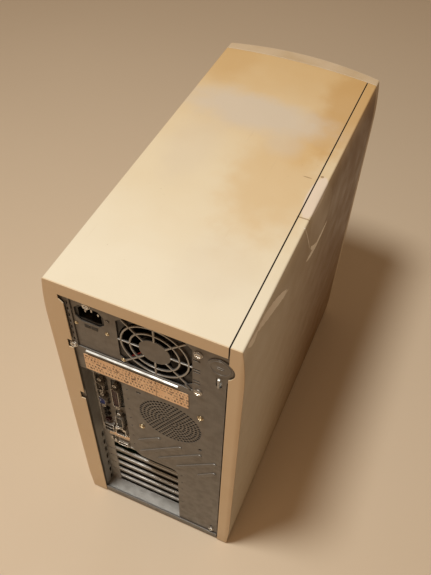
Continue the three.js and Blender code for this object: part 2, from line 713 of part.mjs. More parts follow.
function powerInlet() {
  const y1 = PSU_REAR - SHEET - GAP;
  const flange = box(INLET.x - 19, INLET.x + 19, y1 - 3, y1, INLET.z - 14, INLET.z + 14);
  const barrel = box(INLET.x - 15, INLET.x + 15, y1 - 22, y1, INLET.z - 12, INLET.z + 12);
  const socket = plateY(chamfered(INLET.x, INLET.z, 25, 18, 4), y1 - 19, y1 + 1);
  // Live and neutral pins stand level, and the earth pin between them is 3 mm higher.
  const pins = [
    [-7, 0],
    [0, 3],
    [7, 0],
  ].map(([dx, dz]) => {
    const x = INLET.x + dx;
    const z = INLET.z + dz;
    return box(x - 1, x + 1, y1 - 20, y1 - 6, z - 3, z + 1);
  });
  piece("power_inlet", join([join([flange, barrel]).subtract(socket), ...pins]), "black");
}

function supplyFasteners() {
  supplyScrews().forEach(([x, z], i) => {
    const head = rod("y", x, z, PANEL_OUT + 0.3, PANEL_OUT + 2.3, 4, 6);
    const shank = rod("y", x, z, PSU_REAR - 6, PANEL_OUT + 0.5, 1.6, 10);
    piece("psu_screw_" + (i + 1), join([head, shank]), "bright");
  });
}

function padlockLoop() {
  const { x, z } = LOOP;
  const flange = box(x - 6, x + 6, PANEL_IN - GAP - SHEET, PANEL_IN - GAP, z - 11, z + 11);
  const eye = plateX(
    polygon([
      [PANEL_IN - 1, z - 7],
      [PANEL_OUT + 1.4, z - 7],
      [REAR - 0.1, z - 5],
      [REAR - 0.1, z + 5],
      [PANEL_OUT + 1.4, z + 7],
      [PANEL_IN - 1, z + 7],
    ]),
    x - 1.2,
    x + 1.2,
  );
  piece("padlock_loop", join([flange, eye]), "bright");
}

function labelStrip() {
  const y0 = PANEL_OUT + 0.3;
  piece("label_strip", box(-47.1, 71.7, y0, y0 + 0.3, 317.6, 345.2), "paper");
}

// ---------- motherboard ----------

function motherboard() {
  const rear = RECESS_FLOOR - 3;
  const board = box(BOARD_FACE, BOARD_FACE + BOARD_THICK, rear - 244, rear, 13, 317);
  const into = BOARD_FACE + 0.5;
  const slotHalf = 4.2;
  const slots = slotCentres().map((z) =>
    box(BOARD_FACE - 11, into, rear - 120, rear - 35, z - slotHalf, z + slotHalf),
  );
  // Two chips, two drive headers, the power connector and the clock's battery.
  const chips = [
    box(BOARD_FACE - 3, into, 20, 52, 165, 197),
    box(BOARD_FACE - 3, into, -10, 18, 60, 88),
    box(BOARD_FACE - 9, into, -34, -24, 180, 232),
    box(BOARD_FACE - 9, into, -34, -24, 120, 172),
    box(BOARD_FACE - 12, into, 20, 72, 300, 310),
    rod("x", 0, 40, BOARD_FACE - 4, into, 10, 20),
  ];
  const posts = [30, 150, 300].flatMap((z) =>
    [-20, 110, 190].map((y) => rod("x", y, z, BOARD_FACE + 1, BOARD_FACE + BOARD_THICK + STANDOFF, 3, 6)),
  );
  piece("motherboard", join([board, ...slots, ...chips, ...posts]), "board");
}

function memoryModule() {
  const y = 4;
  const socket = box(BOARD_FACE - 7, BOARD_FACE - GAP, y - 3, y + 3, 166, 306);
  const stick = box(BOARD_FACE - 36, BOARD_FACE - 6, y - 0.7, y + 0.7, 169.5, 302.5);
  const chips = Array.from({ length: 8 }, (_, k) =>
    box(BOARD_FACE - 33, BOARD_FACE - 13, y - 1.8, y - 0.5, 173 + 16 * k, 183 + 16 * k),
  );
  piece("memory_module", join([socket, stick, ...chips]), "board");
}

const CPU = { y: 108, z: 250 };

function processorCooler() {
  const size = 60;
  const h = size / 2;
  const x1 = BOARD_FACE - 3;
  const base = box(x1 - 7, x1, CPU.y - h, CPU.y + h, CPU.z - h, CPU.z + h);
  const fins = Array.from({ length: 11 }, (_, i) => {
    const y = CPU.y - h + 0.8 + (i * (size - 1.6)) / 10;
    return box(x1 - 32, x1 - 6, y - 0.8, y + 0.8, CPU.z - h, CPU.z + h);
  });
  piece("cpu_heatsink", join([base, ...fins]), "bright");
  const fanX1 = x1 - 32 - GAP;
  const deep = 15;
  piece("cpu_fan_frame", fanFrame("x", CPU.y, CPU.z, fanX1 - deep, size, deep), "black");
  piece("cpu_fan_rotor", fanRotor("x", CPU.y, CPU.z, fanX1 - deep + 1, fanX1 - 3, 27, 12), "black");
}

function expansionCard() {
  const z = slotCentres()[0] - 4;
  const rear = RECESS_FLOOR - 3;
  const sheet = box(-28, BOARD_FACE - 14, rear - 158, rear - 1, z - 0.8, z + 0.8);
  const edge = box(BOARD_FACE - 15, BOARD_FACE - 11 - GAP, rear - 116, rear - 40, z - 0.8, z + 0.8);
  const chips = [
    box(-4, 24, rear - 88, rear - 60, z - 3, z - 0.5),
    box(34, 46, rear - 120, rear - 100, z - 3, z - 0.5),
    box(-20, -12, rear - 120, rear - 60, z - 3, z - 0.5),
  ];
  piece("expansion_card", join([sheet, edge, ...chips]), "board");
}

// A port's metal or plastic shell on the recess floor; `deep` is how far it stands out of the port plate.
function port(name, x0, x1, z0, z1, deep, finish, openings) {
  const y0 = RECESS_FLOOR - 14;
  const outer = box(x0, x1, y0, RECESS_FLOOR + deep, z0, z1);
  const mouths = openings.map(([a, b, w, h]) =>
    box(a - w / 2, a + w / 2, RECESS_FLOOR + deep - 6, RECESS_FLOOR + deep + 1, b - h / 2, b + h / 2),
  );
  piece(name, cut(outer, mouths), finish);
}

const PORT_ROWS = {
  jacks: [212.8, 198.3, 184.4],
  low: 169.2,
  high: 295,
};

function ports() {
  port("serial_port", 63.5, 74.5, 249.5, 280.5, 6, "bright", [[69, 265, 8, 17]]);
  port("video_port", 63.5, 74.5, 220, 247.5, 6, "blue", [[69, 233.7, 8, 17]]);
  port("printer_port", 44.5, 55.5, 225.6, 279, 6, "burgundy", [[50, 252.3, 8, 39]]);
  port("game_port", 44.5, 55.5, 181, 212, 6, "bright", [[50, 196.5, 8, 25]]);
  port("audio_jacks", 63.5, 74.5, 178, 218.6, 4, "black", PORT_ROWS.jacks.map((z) => [69, z, 6.5, 9]));
  const columns = [52, 67];
  const sockets = columns.map((x) => [x, PORT_ROWS.low, 11, 12]);
  port("network_usb_ports", 44.5, 74.5, 160, 177, 4, "bright", sockets);
  const rounds = columns.map((x) => [x, PORT_ROWS.high, 11, 11]);
  port("keyboard_mouse_ports", 44.5, 74.5, 284, 306, 4, "black", rounds);
}

function portShield() {
  const sheet = box(IO_X0, IO_X1, RECESS_FLOOR - 1 - GAP - 0.6, RECESS_FLOOR - 1 - GAP, IO_Z0, IO_Z1);
  const windows = [
    [63, 75, 249, 281],
    [63, 75, 219.7, 247.8],
    [44, 56, 225, 279.6],
    [44, 56, 180.5, 212.5],
    [63, 75, 177.7, 219],
    [44, 75, 159.5, 177.5],
    [44, 75, 283.5, 306.5],
  ].map(([x0, x1, z0, z1]) => box(x0 - 0.1, x1 + 0.1, RECESS_FLOOR - 5, RECESS_FLOOR, z0 - 0.1, z1 + 0.1));
  piece("port_shield", cut(sheet, windows), "bright");
}

// ---------- drives ----------

function opticalDrive() {
  const z = bayZ[0];
  const half = BAY_WIDE / 2 - 0.6;
  const y1 = DRIVE_FACE + 188;
  const body = box(-half + 1.5, half - 1.5, DRIVE_FACE + 5, y1, z - 20.4, z + 20.4);
  const face = box(-half, half, DRIVE_FACE, DRIVE_FACE + 6, z - 20.6, z + 20.6);
  const tunnel = box(-66, 66, DRIVE_FACE - 1, DRIVE_FACE + 172, z - 1, z + 14);
  const button = box(49.4, 62.6, DRIVE_FACE - 1, DRIVE_FACE + 5, z - 12.6, z - 6.4);
  const jack = rod("y", -58, z - 10, DRIVE_FACE - 1, DRIVE_FACE + 14, 2.6, 12);
  const dial = box(-46, -30, DRIVE_FACE - 1, DRIVE_FACE + 1.2, z - 12, z - 8);
  piece("optical_drive", cut(join([body, face]), [tunnel, button, jack, dial]), "drive");
  const strip = box(-65.4, 65.4, DRIVE_FACE - 0.8, DRIVE_FACE + 4, z - 0.4, z + 13.4);
  const bed = box(-64, 64, DRIVE_FACE + 3, DRIVE_FACE + 168, z + 1, z + 8);
  const well = rod("z", 0, DRIVE_FACE + 72, z + 4, z + 9, 60.5, 48);
  const spindle = box(-16, 16, DRIVE_FACE + 56, DRIVE_FACE + 140, z, z + 9);
  piece("optical_tray", join([strip, bed]).subtract(well).subtract(spindle), "drive");
  piece("optical_button", box(50, 62, DRIVE_FACE - 1, DRIVE_FACE + 3, z - 12, z - 7), "drive");
}

function floppyDrive() {
  const y1 = DRIVE_FACE + 148;
  const body = box(-50.8, 50.8, DRIVE_FACE + 4, y1, FLOPPY_Z - 12.6, FLOPPY_Z + 12.6);
  const face = box(-51, 51, DRIVE_FACE, DRIVE_FACE + 5, FLOPPY_Z - 12.8, FLOPPY_Z + 12.8);
  const slot = box(-46, 46, DRIVE_FACE - 1, DRIVE_FACE + 96, FLOPPY_Z + 2, FLOPPY_Z + 5.6);
  const pinch = box(-14, 14, DRIVE_FACE - 1, DRIVE_FACE + 3, FLOPPY_Z - 2, FLOPPY_Z + 9);
  const button = box(28.4, 40.6, DRIVE_FACE - 1, DRIVE_FACE + 9, FLOPPY_Z - 9.6, FLOPPY_Z - 3.4);
  piece("floppy_drive", cut(join([body, face]), [slot, pinch, button]), "drive");
  piece("floppy_button", box(29, 40, DRIVE_FACE - 3.5, DRIVE_FACE + 3, FLOPPY_Z - 9, FLOPPY_Z - 4), "drive");
}

function hardDisk() {
  const y0 = FRONT_PLATE + 8;
  const body = box(-50.8, 50.8, y0, y0 + 146, DISK_Z - 12.7, DISK_Z + 10.5);
  const lid = box(-48, 48, y0 + 2, y0 + 140, DISK_Z + 10, DISK_Z + 12.7);
  const hub = rod("z", 0, y0 + 60, DISK_Z + 12, DISK_Z + 13.4, 14, 20);
  piece("hard_disk", join([body, lid, hub]), "bright");
}

// ---------- inner cables ----------

// A flat cable that bends in the Y-Z plane: a band of even thickness along a smooth curve, `wide` across.
function ribbonCable() {
  const route = new THREE.CatmullRomCurve3(
    [
      [-44, DISK_Z + 4],
      [-30, DISK_Z - 6],
      [-14, DISK_Z - 50],
      [-16, DISK_Z - 84],
      [-26, DISK_Z - 108],
    ].map(([y, z]) => new THREE.Vector3(0, y, z)),
  );
  const samples = 20;
  const thick = 0.9;
  const near = [];
  const far = [];
  for (let i = 0; i <= samples; i++) {
    const p = route.getPoint(i / samples);
    const t = route.getTangent(i / samples);
    near.push([p.y - t.z * thick, p.z + t.y * thick]);
    far.unshift([p.y + t.z * thick, p.z - t.y * thick]);
  }
  piece("drive_ribbon_cable", plateX(polygon([...far, ...near].reverse()), 4, 49), "ribbon");
}

function supplyLead() {
  const points = [
    [70, PSU_FRONT - 1, PSU_Z0 + 12],
    [69, PSU_FRONT - 18, PSU_Z0 + 10],
    [64, PSU_FRONT - 32, PSU_Z0 - 6],
    [60, PSU_FRONT - 38, PSU_Z0 - 26],
    [59, PSU_FRONT - 40, PSU_Z0 - 38],
  ];
  const route = new THREE.CatmullRomCurve3(points.map((p) => new THREE.Vector3(...p)));
  const section = new THREE.Shape();
  section.absarc(0, 0, 5.5, 0, 2 * Math.PI, false);
  const g = new THREE.ExtrudeGeometry(section, { steps: 9, extrudePath: route, curveSegments: 5 });
  piece("supply_lead", solid(g), "black");
}

coverAndPanel();
frontBezel();
bayCover();
buttonsAndLights();
basePan();
feet();
rearPanel();
recess();
slotCovers();
cardBracket();
motherboardTray();
frontPlate();
topFrame();
driveCages();
caseFan();
powerSupply();
powerInlet();
supplyFasteners();
padlockLoop();
labelStrip();
motherboard();
memoryModule();
processorCooler();
expansionCard();
ports();
portShield();
opticalDrive();
floppyDrive();
hardDisk();
ribbonCable();
supplyLead();

export default tower;
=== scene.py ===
"""A beige desktop computer tower, seen from behind and above.

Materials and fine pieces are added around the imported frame. Lengths are in millimetres until a mesh is
made. +Z is up, the rear faces +Y and the opening side panel is at -X.
"""

import json
import math

import bmesh
import bpy
from mathutils import Matrix, Vector


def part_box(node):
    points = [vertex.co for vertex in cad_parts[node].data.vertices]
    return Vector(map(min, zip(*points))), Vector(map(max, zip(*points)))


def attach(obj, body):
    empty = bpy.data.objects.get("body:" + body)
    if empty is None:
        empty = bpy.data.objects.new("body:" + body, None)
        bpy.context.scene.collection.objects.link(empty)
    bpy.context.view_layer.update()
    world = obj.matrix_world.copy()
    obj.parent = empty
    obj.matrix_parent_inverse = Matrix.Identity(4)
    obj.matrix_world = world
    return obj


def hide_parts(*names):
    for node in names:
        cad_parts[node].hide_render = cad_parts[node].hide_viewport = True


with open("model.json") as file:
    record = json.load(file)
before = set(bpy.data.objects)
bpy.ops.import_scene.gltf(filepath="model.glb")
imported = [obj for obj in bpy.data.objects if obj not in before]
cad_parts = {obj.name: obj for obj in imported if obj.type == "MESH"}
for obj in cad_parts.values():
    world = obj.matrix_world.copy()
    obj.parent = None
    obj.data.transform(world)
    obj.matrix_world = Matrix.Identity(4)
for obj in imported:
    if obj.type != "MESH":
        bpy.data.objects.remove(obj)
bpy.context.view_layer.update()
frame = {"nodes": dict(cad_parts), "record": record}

MM = 0.001
SHEET = 1.2
CARD_SHEET = 0.9
FAN_SCREW = 71.5 / 2
TURN = 2 * math.pi
CHASSIS = "chassis"


def box_mm(node):
    low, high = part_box(node)
    return low / MM, high / MM


def centre(node):
    low, high = box_mm(node)
    return (low + high) / 2


# ---------- places, from the frame ----------

panel_low, panel_high = box_mm("rear_panel")
recess_low, recess_high = box_mm("recess_wall")
shield_low, shield_high = box_mm("port_shield")
supply_low, supply_high = box_mm("psu_case")
label_low, label_high = box_mm("label_strip")
loop_low, loop_high = box_mm("padlock_loop")
cover_low, cover_high = box_mm("top_cover")
side_low = box_mm("side_panel")[0]
case_fan = centre("case_fan_frame")
supply_fan = centre("psu_fan_frame")
inlet = centre("power_inlet")
loop = centre("padlock_loop")
supply_screws = [centre(f"psu_screw_{i}") for i in (1, 2, 3, 4)]
slot_nodes = sorted(n for n in frame["nodes"] if n.startswith("slot_cover_"))

PANEL_IN = panel_low.y
PANEL_OUT = PANEL_IN + SHEET
RECESS_WALL = 1.0
FLOOR_Y = recess_low.y + RECESS_WALL
SUPPLY_FACE = supply_high.y
SLOT_PITCH = 20.32
SLOT_HIGH = 12.9
SLOT_COUNT = 7
CARD_HALF = 9.2
FIRST_SLOT = centre("card_bracket").z
SLOT_X = (-28, 67.6)
TAB_RADIUS = 13
TAB = (loop.x - 0.9, loop.z + 26)


# ---------- outlines, as lists of (a, b) ----------

def arc(a, b, radius, start, sweep, steps):
    """Points along a round stretch, from the angle `start` through the angle `sweep`."""
    turns = [start + sweep * i / steps for i in range(steps + 1)]
    return [(a + radius * math.cos(turn), b + radius * math.sin(turn)) for turn in turns]


def circle(a, b, radius, count=20, start=0.0):
    return arc(a, b, radius, start, TURN, count)[:-1]


def rounded(a0, a1, b0, b1, radius, steps=4):
    """A rectangle with round corners, given by its sides."""
    corners = [(a1 - radius, b1 - radius), (a0 + radius, b1 - radius),
               (a0 + radius, b0 + radius), (a1 - radius, b0 + radius)]
    points = []
    for quarter, (a, b) in enumerate(corners):
        points += arc(a, b, radius, TURN / 4 * quarter, TURN / 4, steps)
    return points


def around(a, b, wide, high, radius, steps=4):
    """A rectangle with round corners, given by its middle."""
    return rounded(a - wide / 2, a + wide / 2, b - high / 2, b + high / 2, radius, steps)


def inset(low, high, by, radius):
    """A box's outline from behind, drawn in by a distance, with round corners."""
    return rounded(low.x + by, high.x - by, low.z + by, high.z - by, radius)


def capsule(p, q, radius, steps=5):
    """A bar with round ends from p to q."""
    turn = math.atan2(q[1] - p[1], q[0] - p[0])
    return (arc(*q, radius, turn - TURN / 4, TURN / 2, steps)
            + arc(*p, radius, turn + TURN / 4, TURN / 2, steps))


def d_outline(a, b, wide, high, radius=1.6, slope=0.8):
    """A D-shaped connector's outline, its longer side towards +a."""
    points = around(a, b, wide, high, radius, 3)
    return [(p, b + (q - b) * (1 - slope * (a + wide / 2 - p) / high)) for p, q in points]


# ---------- mesh building ----------

AXES = {
    "y": Matrix(((1, 0, 0, 0), (0, 0, 1, 0), (0, 1, 0, 0), (0, 0, 0, 1))),
    "x": Matrix(((0, 0, 1, 0), (1, 0, 0, 0), (0, 1, 0, 0), (0, 0, 0, 1))),
}


def in_scene(name, data):
    thing = bpy.data.objects.new(name, data)
    bpy.context.scene.collection.objects.link(thing)
    return thing


def evaluated_mesh(thing):
    """A new mesh of the object's surface, with its modifiers applied."""
    ready = thing.evaluated_get(bpy.context.evaluated_depsgraph_get())
    return bpy.data.meshes.new_from_object(ready)


class Build:
    """Solids gathered into one mesh. A solid is drawn in two axes and runs along the third, `axis`."""

    def __init__(self):
        self.bm = bmesh.new()

    def add(self, curve, placement=Matrix.Identity(4)):
        """Takes in a curve's surface."""
        holder = in_scene(curve.name, curve)
        mesh = evaluated_mesh(holder)
        mesh.transform(placement)
        self.bm.from_mesh(mesh)
        bpy.data.objects.remove(holder)
        bpy.data.meshes.remove(mesh)

    def plate(self, outlines, near, far, rounding=0.15, axis="y"):
        """A sheet: the first outline with the others cut out of it, from `near` to `far` along the axis."""
        curve = bpy.data.curves.new("plate", "CURVE")
        curve.dimensions = "2D"
        curve.fill_mode = "BOTH"
        curve.extrude = (far - near) / 2 - rounding
        curve.bevel_depth = rounding
        curve.bevel_resolution = 1
        curve.offset = -rounding
        for outline in outlines:
            spline = curve.splines.new("POLY")
            spline.points.add(len(outline) - 1)
            for point, (a, b) in zip(spline.points, outline):
                point.co = (a, b, 0, 1)
            spline.use_cyclic_u = True
        self.add(curve, AXES[axis] @ Matrix.Translation((0, 0, (near + far) / 2)))

    def prism(self, outline, near, far, axis="y"):
        self.plate([outline], near, far, 0.01, axis)

    def sheet(self, profile, thick, near, far, axis="x"):
        """A folded sheet: an open profile given a thickness, then run along the axis."""
        left, right = [], []
        for i, (a, b) in enumerate(profile):
            before = profile[max(i - 1, 0)]
            after = profile[min(i + 1, len(profile) - 1)]
            along = Vector((after[0] - before[0], after[1] - before[1])).normalized() * thick / 2
            left.append((a - along.y, b + along.x))
            right.append((a + along.y, b - along.x))
        self.plate([left + right[::-1]], near, far, 0.12, axis)

    def tube(self, points, radius):
        """A round wire through the points."""
        curve = bpy.data.curves.new("tube", "CURVE")
        curve.dimensions = "3D"
        curve.bevel_depth = radius
        curve.bevel_resolution = 2
        curve.resolution_u = 6
        curve.use_fill_caps = True
        spline = curve.splines.new("BEZIER")
        spline.bezier_points.add(len(points) - 1)
        for knot, place in zip(spline.bezier_points, points):
            knot.co = place
            knot.handle_left_type = knot.handle_right_type = "AUTO"
        self.add(curve)

    def mesh(self, name):
        """The finished mesh, in metres."""
        bmesh.ops.recalc_face_normals(self.bm, faces=self.bm.faces)
        mesh = bpy.data.meshes.new(name)
        self.bm.to_mesh(mesh)
        self.bm.free()
        mesh.transform(Matrix.Scale(MM, 4))
        return mesh

    def save(self, name, slot, body=CHASSIS, nodes=(), cut=None, material=None):
        """Ends the mesh: one object on its body, in its slot's material, standing for its CAD nodes."""
        bmesh.ops.remove_doubles(self.bm, verts=self.bm.verts, dist=0.002)
        for face in self.bm.faces:
            face.smooth = True
        piece = in_scene(name, self.mesh(name))
        if cut:
            carve(piece, cut)
        piece.data.materials.append(material or MATERIALS[slot])
        piece.modifiers.new("even_light", "WEIGHTED_NORMAL").keep_sharp = True
        mark_sharp(piece.data, 40)
        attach(piece, body)
        if nodes:
            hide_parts(*nodes)


def solid(name, slot, outlines, near, far, rounding=0.15, axis="y", **options):
    """A piece made of one plate."""
    build = Build()
    build.plate(outlines, near, far, rounding, axis)
    build.save(name, slot, **options)


def mark_sharp(mesh, degrees):
    """Marks the edges that turn by more than the angle, and leaves the others smooth."""
    bm = bmesh.new()
    bm.from_mesh(mesh)
    limit = math.radians(degrees)
    for edge in bm.edges:
        edge.smooth = len(edge.link_faces) == 2 and edge.calc_face_angle(0) < limit
    bm.to_mesh(mesh)
    bm.free()


def carve(piece, tool_build):
    """Cuts the tool's solids out of a piece for good."""
    tool = in_scene("tool", tool_build.mesh("tool"))
    modifier = piece.modifiers.new("carve", "BOOLEAN")
    modifier.object = tool
    modifier.solver = "EXACT"
    carved = evaluated_mesh(piece)
    piece.modifiers.clear()
    piece.data = carved
    bpy.data.objects.remove(tool)


# ---------- node graphs ----------

class Graph:
    """A material under construction. Vectors are the object's own coordinates, in millimetres."""

    def __init__(self, name, roughness=0.5, metallic=0.0):
        self.material = bpy.data.materials.new(name)
        self.material.use_nodes = True
        self.tree = self.material.node_tree
        self.shader = self.tree.nodes["Principled BSDF"]
        self.shader.inputs["Roughness"].default_value = roughness
        self.shader.inputs["Metallic"].default_value = metallic
        place = self.add("ShaderNodeTexCoord")
        scale = self.add("ShaderNodeVectorMath", operation="SCALE")
        scale.inputs["Scale"].default_value = 1 / MM
        self.link(place.outputs["Object"], scale.inputs[0])
        self.place = scale.outputs[0]

    def add(self, kind, **settings):
        node = self.tree.nodes.new(kind)
        for key, value in settings.items():
            setattr(node, key, value)
        return node

    def link(self, source, target):
        self.tree.links.new(source, target)

    def put(self, target, value):
        """Links a socket, or sets a plain number or colour."""
        if isinstance(value, bpy.types.NodeSocket):
            self.link(value, target)
        elif target.type == "RGBA":
            target.default_value = (*value, 1)
        else:
            target.default_value = value

    def stretched(self, scale, vector=None):
        node = self.add("ShaderNodeVectorMath", operation="MULTIPLY")
        self.link(vector or self.place, node.inputs[0])
        node.inputs[1].default_value = scale
        return node.outputs[0]

    def noise(self, size, detail=3.0, stretch=None, rough=0.55):
        """Soft random grain. `size` is the width of its blotches."""
        node = self.add("ShaderNodeTexNoise")
        node.inputs["Scale"].default_value = 1 / size
        node.inputs["Detail"].default_value = detail
        node.inputs["Roughness"].default_value = rough
        self.link(self.stretched(stretch) if stretch else self.place, node.inputs["Vector"])
        return node.outputs["Fac"]

    def uneven(self, size, detail, low, high):
        """A value that wanders between low and high, such as a patchy gloss."""
        return self.span(self.noise(size, detail), 0.3, 0.7, low, high)

    def cells(self, size, feature="F1", output="Distance", stretch=None):
        node = self.add("ShaderNodeTexVoronoi", feature=feature)
        node.inputs["Scale"].default_value = 1 / size
        self.link(self.stretched(stretch) if stretch else self.place, node.inputs["Vector"])
        return node.outputs[output]

    def math(self, operation, a, b=0.0, c=0.0):
        node = self.add("ShaderNodeMath", operation=operation)
        for socket, value in zip(node.inputs, (a, b, c)):
            self.put(socket, value)
        return node.outputs[0]

    def minus(self, value):
        return self.math("MULTIPLY", value, -1.0)

    def span(self, value, low, high, to_low=0.0, to_high=1.0):
        """Value mapped smoothly from low..high to to_low..to_high."""
        node = self.add("ShaderNodeMapRange", interpolation_type="SMOOTHSTEP")
        self.link(value, node.inputs["Value"])
        node.inputs["From Min"].default_value = low
        node.inputs["From Max"].default_value = high
        node.inputs["To Min"].default_value = to_low
        node.inputs["To Max"].default_value = to_high
        return node.outputs["Result"]

    def mix(self, a, b, amount):
        node = self.add("ShaderNodeMix", data_type="RGBA")
        self.put(node.inputs[0], amount)
        self.put(node.inputs[6], a)
        self.put(node.inputs[7], b)
        return node.outputs[2]

    def tint(self, under, shade, mask, amount):
        """A shade laid over a colour where the mask is 1, as strongly as `amount`."""
        return self.mix(under, shade, self.math("MULTIPLY", mask, amount))

    def axis(self, letter):
        node = self.add("ShaderNodeSeparateXYZ")
        self.link(self.place, node.inputs[0])
        return node.outputs[letter]

    def patch(self, middle, radii, soft=0.35, ragged=0.25, grain=30):
        """1 inside an ellipsoid around `middle`, falling to 0 outside it, with a ragged edge."""
        away = self.add("ShaderNodeVectorMath", operation="SUBTRACT")
        self.link(self.place, away.inputs[0])
        away.inputs[1].default_value = middle
        scaled = self.stretched([1 / r for r in radii], away.outputs[0])
        length = self.add("ShaderNodeVectorMath", operation="LENGTH")
        self.link(scaled, length.inputs[0])
        wobble = self.math("MULTIPLY_ADD", self.noise(grain), ragged * 2, -ragged)
        reach = self.math("ADD", length.outputs["Value"], wobble)
        return self.span(reach, 1 - soft, 1 + soft, 1, 0)

    def streak(self, y, z, half_long, half_wide, degrees, bend=0.0, ragged=0.5, grain=5):
        """1 on a long torn mark on the side, tilted and bent, seen in the YZ plane."""
        c, s = math.cos(math.radians(degrees)), math.sin(math.radians(degrees))
        dy = self.math("SUBTRACT", self.axis("Y"), y)
        dz = self.math("SUBTRACT", self.axis("Z"), z)
        along = self.math("ADD", self.math("MULTIPLY", dy, c), self.math("MULTIPLY", dz, s))
        across = self.math("SUBTRACT", self.math("MULTIPLY", dz, c), self.math("MULTIPLY", dy, s))
        across = self.math("SUBTRACT", across, self.math("MULTIPLY", self.math("POWER", along, 2.0), bend))
        u = self.math("POWER", self.math("ABSOLUTE", self.math("DIVIDE", along, half_long)), 2.0)
        v = self.math("POWER", self.math("ABSOLUTE", self.math("DIVIDE", across, half_wide)), 2.0)
        wobble = self.math("MULTIPLY_ADD", self.noise(grain, 5), ragged * 2, -ragged)
        return self.span(self.math("ADD", self.math("ADD", u, v), wobble), 0.85, 1.15, 1, 0)

    def edges(self, radius, low=0.02, high=0.25):
        """1 on outer edges, 0 on flat faces."""
        bevel = self.add("ShaderNodeBevel", samples=4)
        bevel.inputs["Radius"].default_value = radius * MM
        geometry = self.add("ShaderNodeNewGeometry")
        dot = self.add("ShaderNodeVectorMath", operation="DOT_PRODUCT")
        self.link(bevel.outputs[0], dot.inputs[0])
        self.link(geometry.outputs["Normal"], dot.inputs[1])
        return self.span(self.math("SUBTRACT", 1.0, dot.outputs["Value"]), low, high)

    def bump(self, height, depth, strength=1.0, under=None):
        node = self.add("ShaderNodeBump")
        node.inputs["Strength"].default_value = strength
        node.inputs["Distance"].default_value = depth * MM
        self.link(height, node.inputs["Height"])
        if under:
            self.link(under, node.inputs["Normal"])
        return node.outputs[0]

    def done(self, colour=None, roughness=None, normal=None, metallic=None):
        for name, value in (("Base Color", colour), ("Roughness", roughness), ("Normal", normal),
                            ("Metallic", metallic)):
            if value is not None:
                self.put(self.shader.inputs[name], value)
        return self.material


# ---------- materials ----------

PALE_CREAM = (0.78, 0.74, 0.61)
CREAM = (0.74, 0.66, 0.49)
YELLOWED = (0.64, 0.44, 0.20)
DEEP_YELLOW = (0.54, 0.33, 0.12)
LILAC_GREY = (0.64, 0.57, 0.47)
GRIME = (0.30, 0.20, 0.11)
# Colour of the painted shade on the side panel.
SIDE_PAINTED_SHADE = (0.20, 0.105, 0.036)
CLEAN_BAND = (0.76, 0.67, 0.58)
TAPE_WHITE = (0.97, 0.93, 0.85)
SCUFF_BROWN = (0.50, 0.38, 0.24)
# Pale rubbed edges, partly a painted highlight.
WORN_PALE_AND_HIGHLIGHT = (0.86, 0.80, 0.70)
# Colour of the painted shade in the gap between top and side.
SEAM_SHADE = (0.02, 0.013, 0.008)
SEAM_GAP = 0.4
SIDE_EDGE = (97, 103)
TAPE_EDGE = (97, 99.5)
# Depth of the cover's rear flanges, which get a painted shade.
REAR_FACE_SHADE = (228.4, 229.4)


def yellowing_and_painted_falloff(g):
    """Pale at the rear, unevenly yellowed and darker towards the front, partly real yellowing and partly
    painted light falloff, with some spots kept clean.
    """
    top = cover_high.z
    warp = g.math("MULTIPLY_ADD", g.noise(90, 4), 120, -60)
    front = g.math("SUBTRACT", warp, g.axis("Y"))
    colour = g.mix(PALE_CREAM, CREAM, g.span(front, -190, -40))
    # Deeper yellow and darker towards the front: partly real yellowing, partly painted light falloff.
    colour = g.mix(colour, YELLOWED, g.span(front, -60, 260, 0, 0.92))
    for x, y, radii, shade, amount in (
            (-48, 8, (46, 92, 60), YELLOWED, 0.5),
            (-62, -72, (26, 50, 60), YELLOWED, 0.6),
            (-82, -150, (30, 90, 90), DEEP_YELLOW, 0.6),
            (84, -190, (30, 60, 90), DEEP_YELLOW, 0.25),
            (16, -90, (84, 31, 60), LILAC_GREY, 0.95),
            (-36, -52, (22, 24, 60), LILAC_GREY, 0.5),
            (-40, 150, (36, 44, 60), LILAC_GREY, 0.2),
            (56, -6, (26, 60, 60), LILAC_GREY, 0.3)):
        colour = g.tint(colour, shade, g.patch((x, y, top), radii, 0.5, 0.45, 24), amount)
    return colour


def tape_traces(g):
    """1 on the torn tape traces and the thin scratch of the side's upper part."""
    top = cover_high.z
    traces = g.streak(157, top - 19, 42, 6.2, 21, -0.002)
    for trace in (g.streak(208, top - 9, 12, 4, 8, 0.02), g.streak(18, top - 68, 38, 5.0, 6, 0.004),
                  g.streak(30, top - 60, 18, 3, 32, 0.01), g.streak(60, top - 18, 28, 0.7, 68)):
        traces = g.math("MAXIMUM", traces, trace)
    return g.math("MULTIPLY", traces, g.span(g.minus(g.axis("X")), *TAPE_EDGE))


def clean_and_dark_spots(g, colour):
    """The places where tape kept the paint pale, and three small dark marks at their ends."""
    top = cover_high.z
    band_x, band_y = side_low.x + 10, 20
    clean = g.patch((band_x, band_y, top), (9, 34, 10), 0.08, 0.06, 12)
    colour = g.tint(colour, CLEAN_BAND, clean, 0.9)
    ghost = g.patch((side_low.x, 16, top - 30), (14, 38, 38), 0.10, 0.12, 16)
    colour = g.tint(colour, LILAC_GREY, ghost, 0.3)
    traces = tape_traces(g)
    colour = g.mix(colour, TAPE_WHITE, traces)
    for x, y, radii in ((band_x, 54.5, (8, 0.9, 9)), (band_x + 3, -13, (1.8, 1.8, 9)),
                        (-77, -6, (5, 0.7, 9))):
        colour = g.tint(colour, GRIME, g.patch((x, y, top), radii, 0.2, 0.1, 6), 0.75)
    return colour, traces


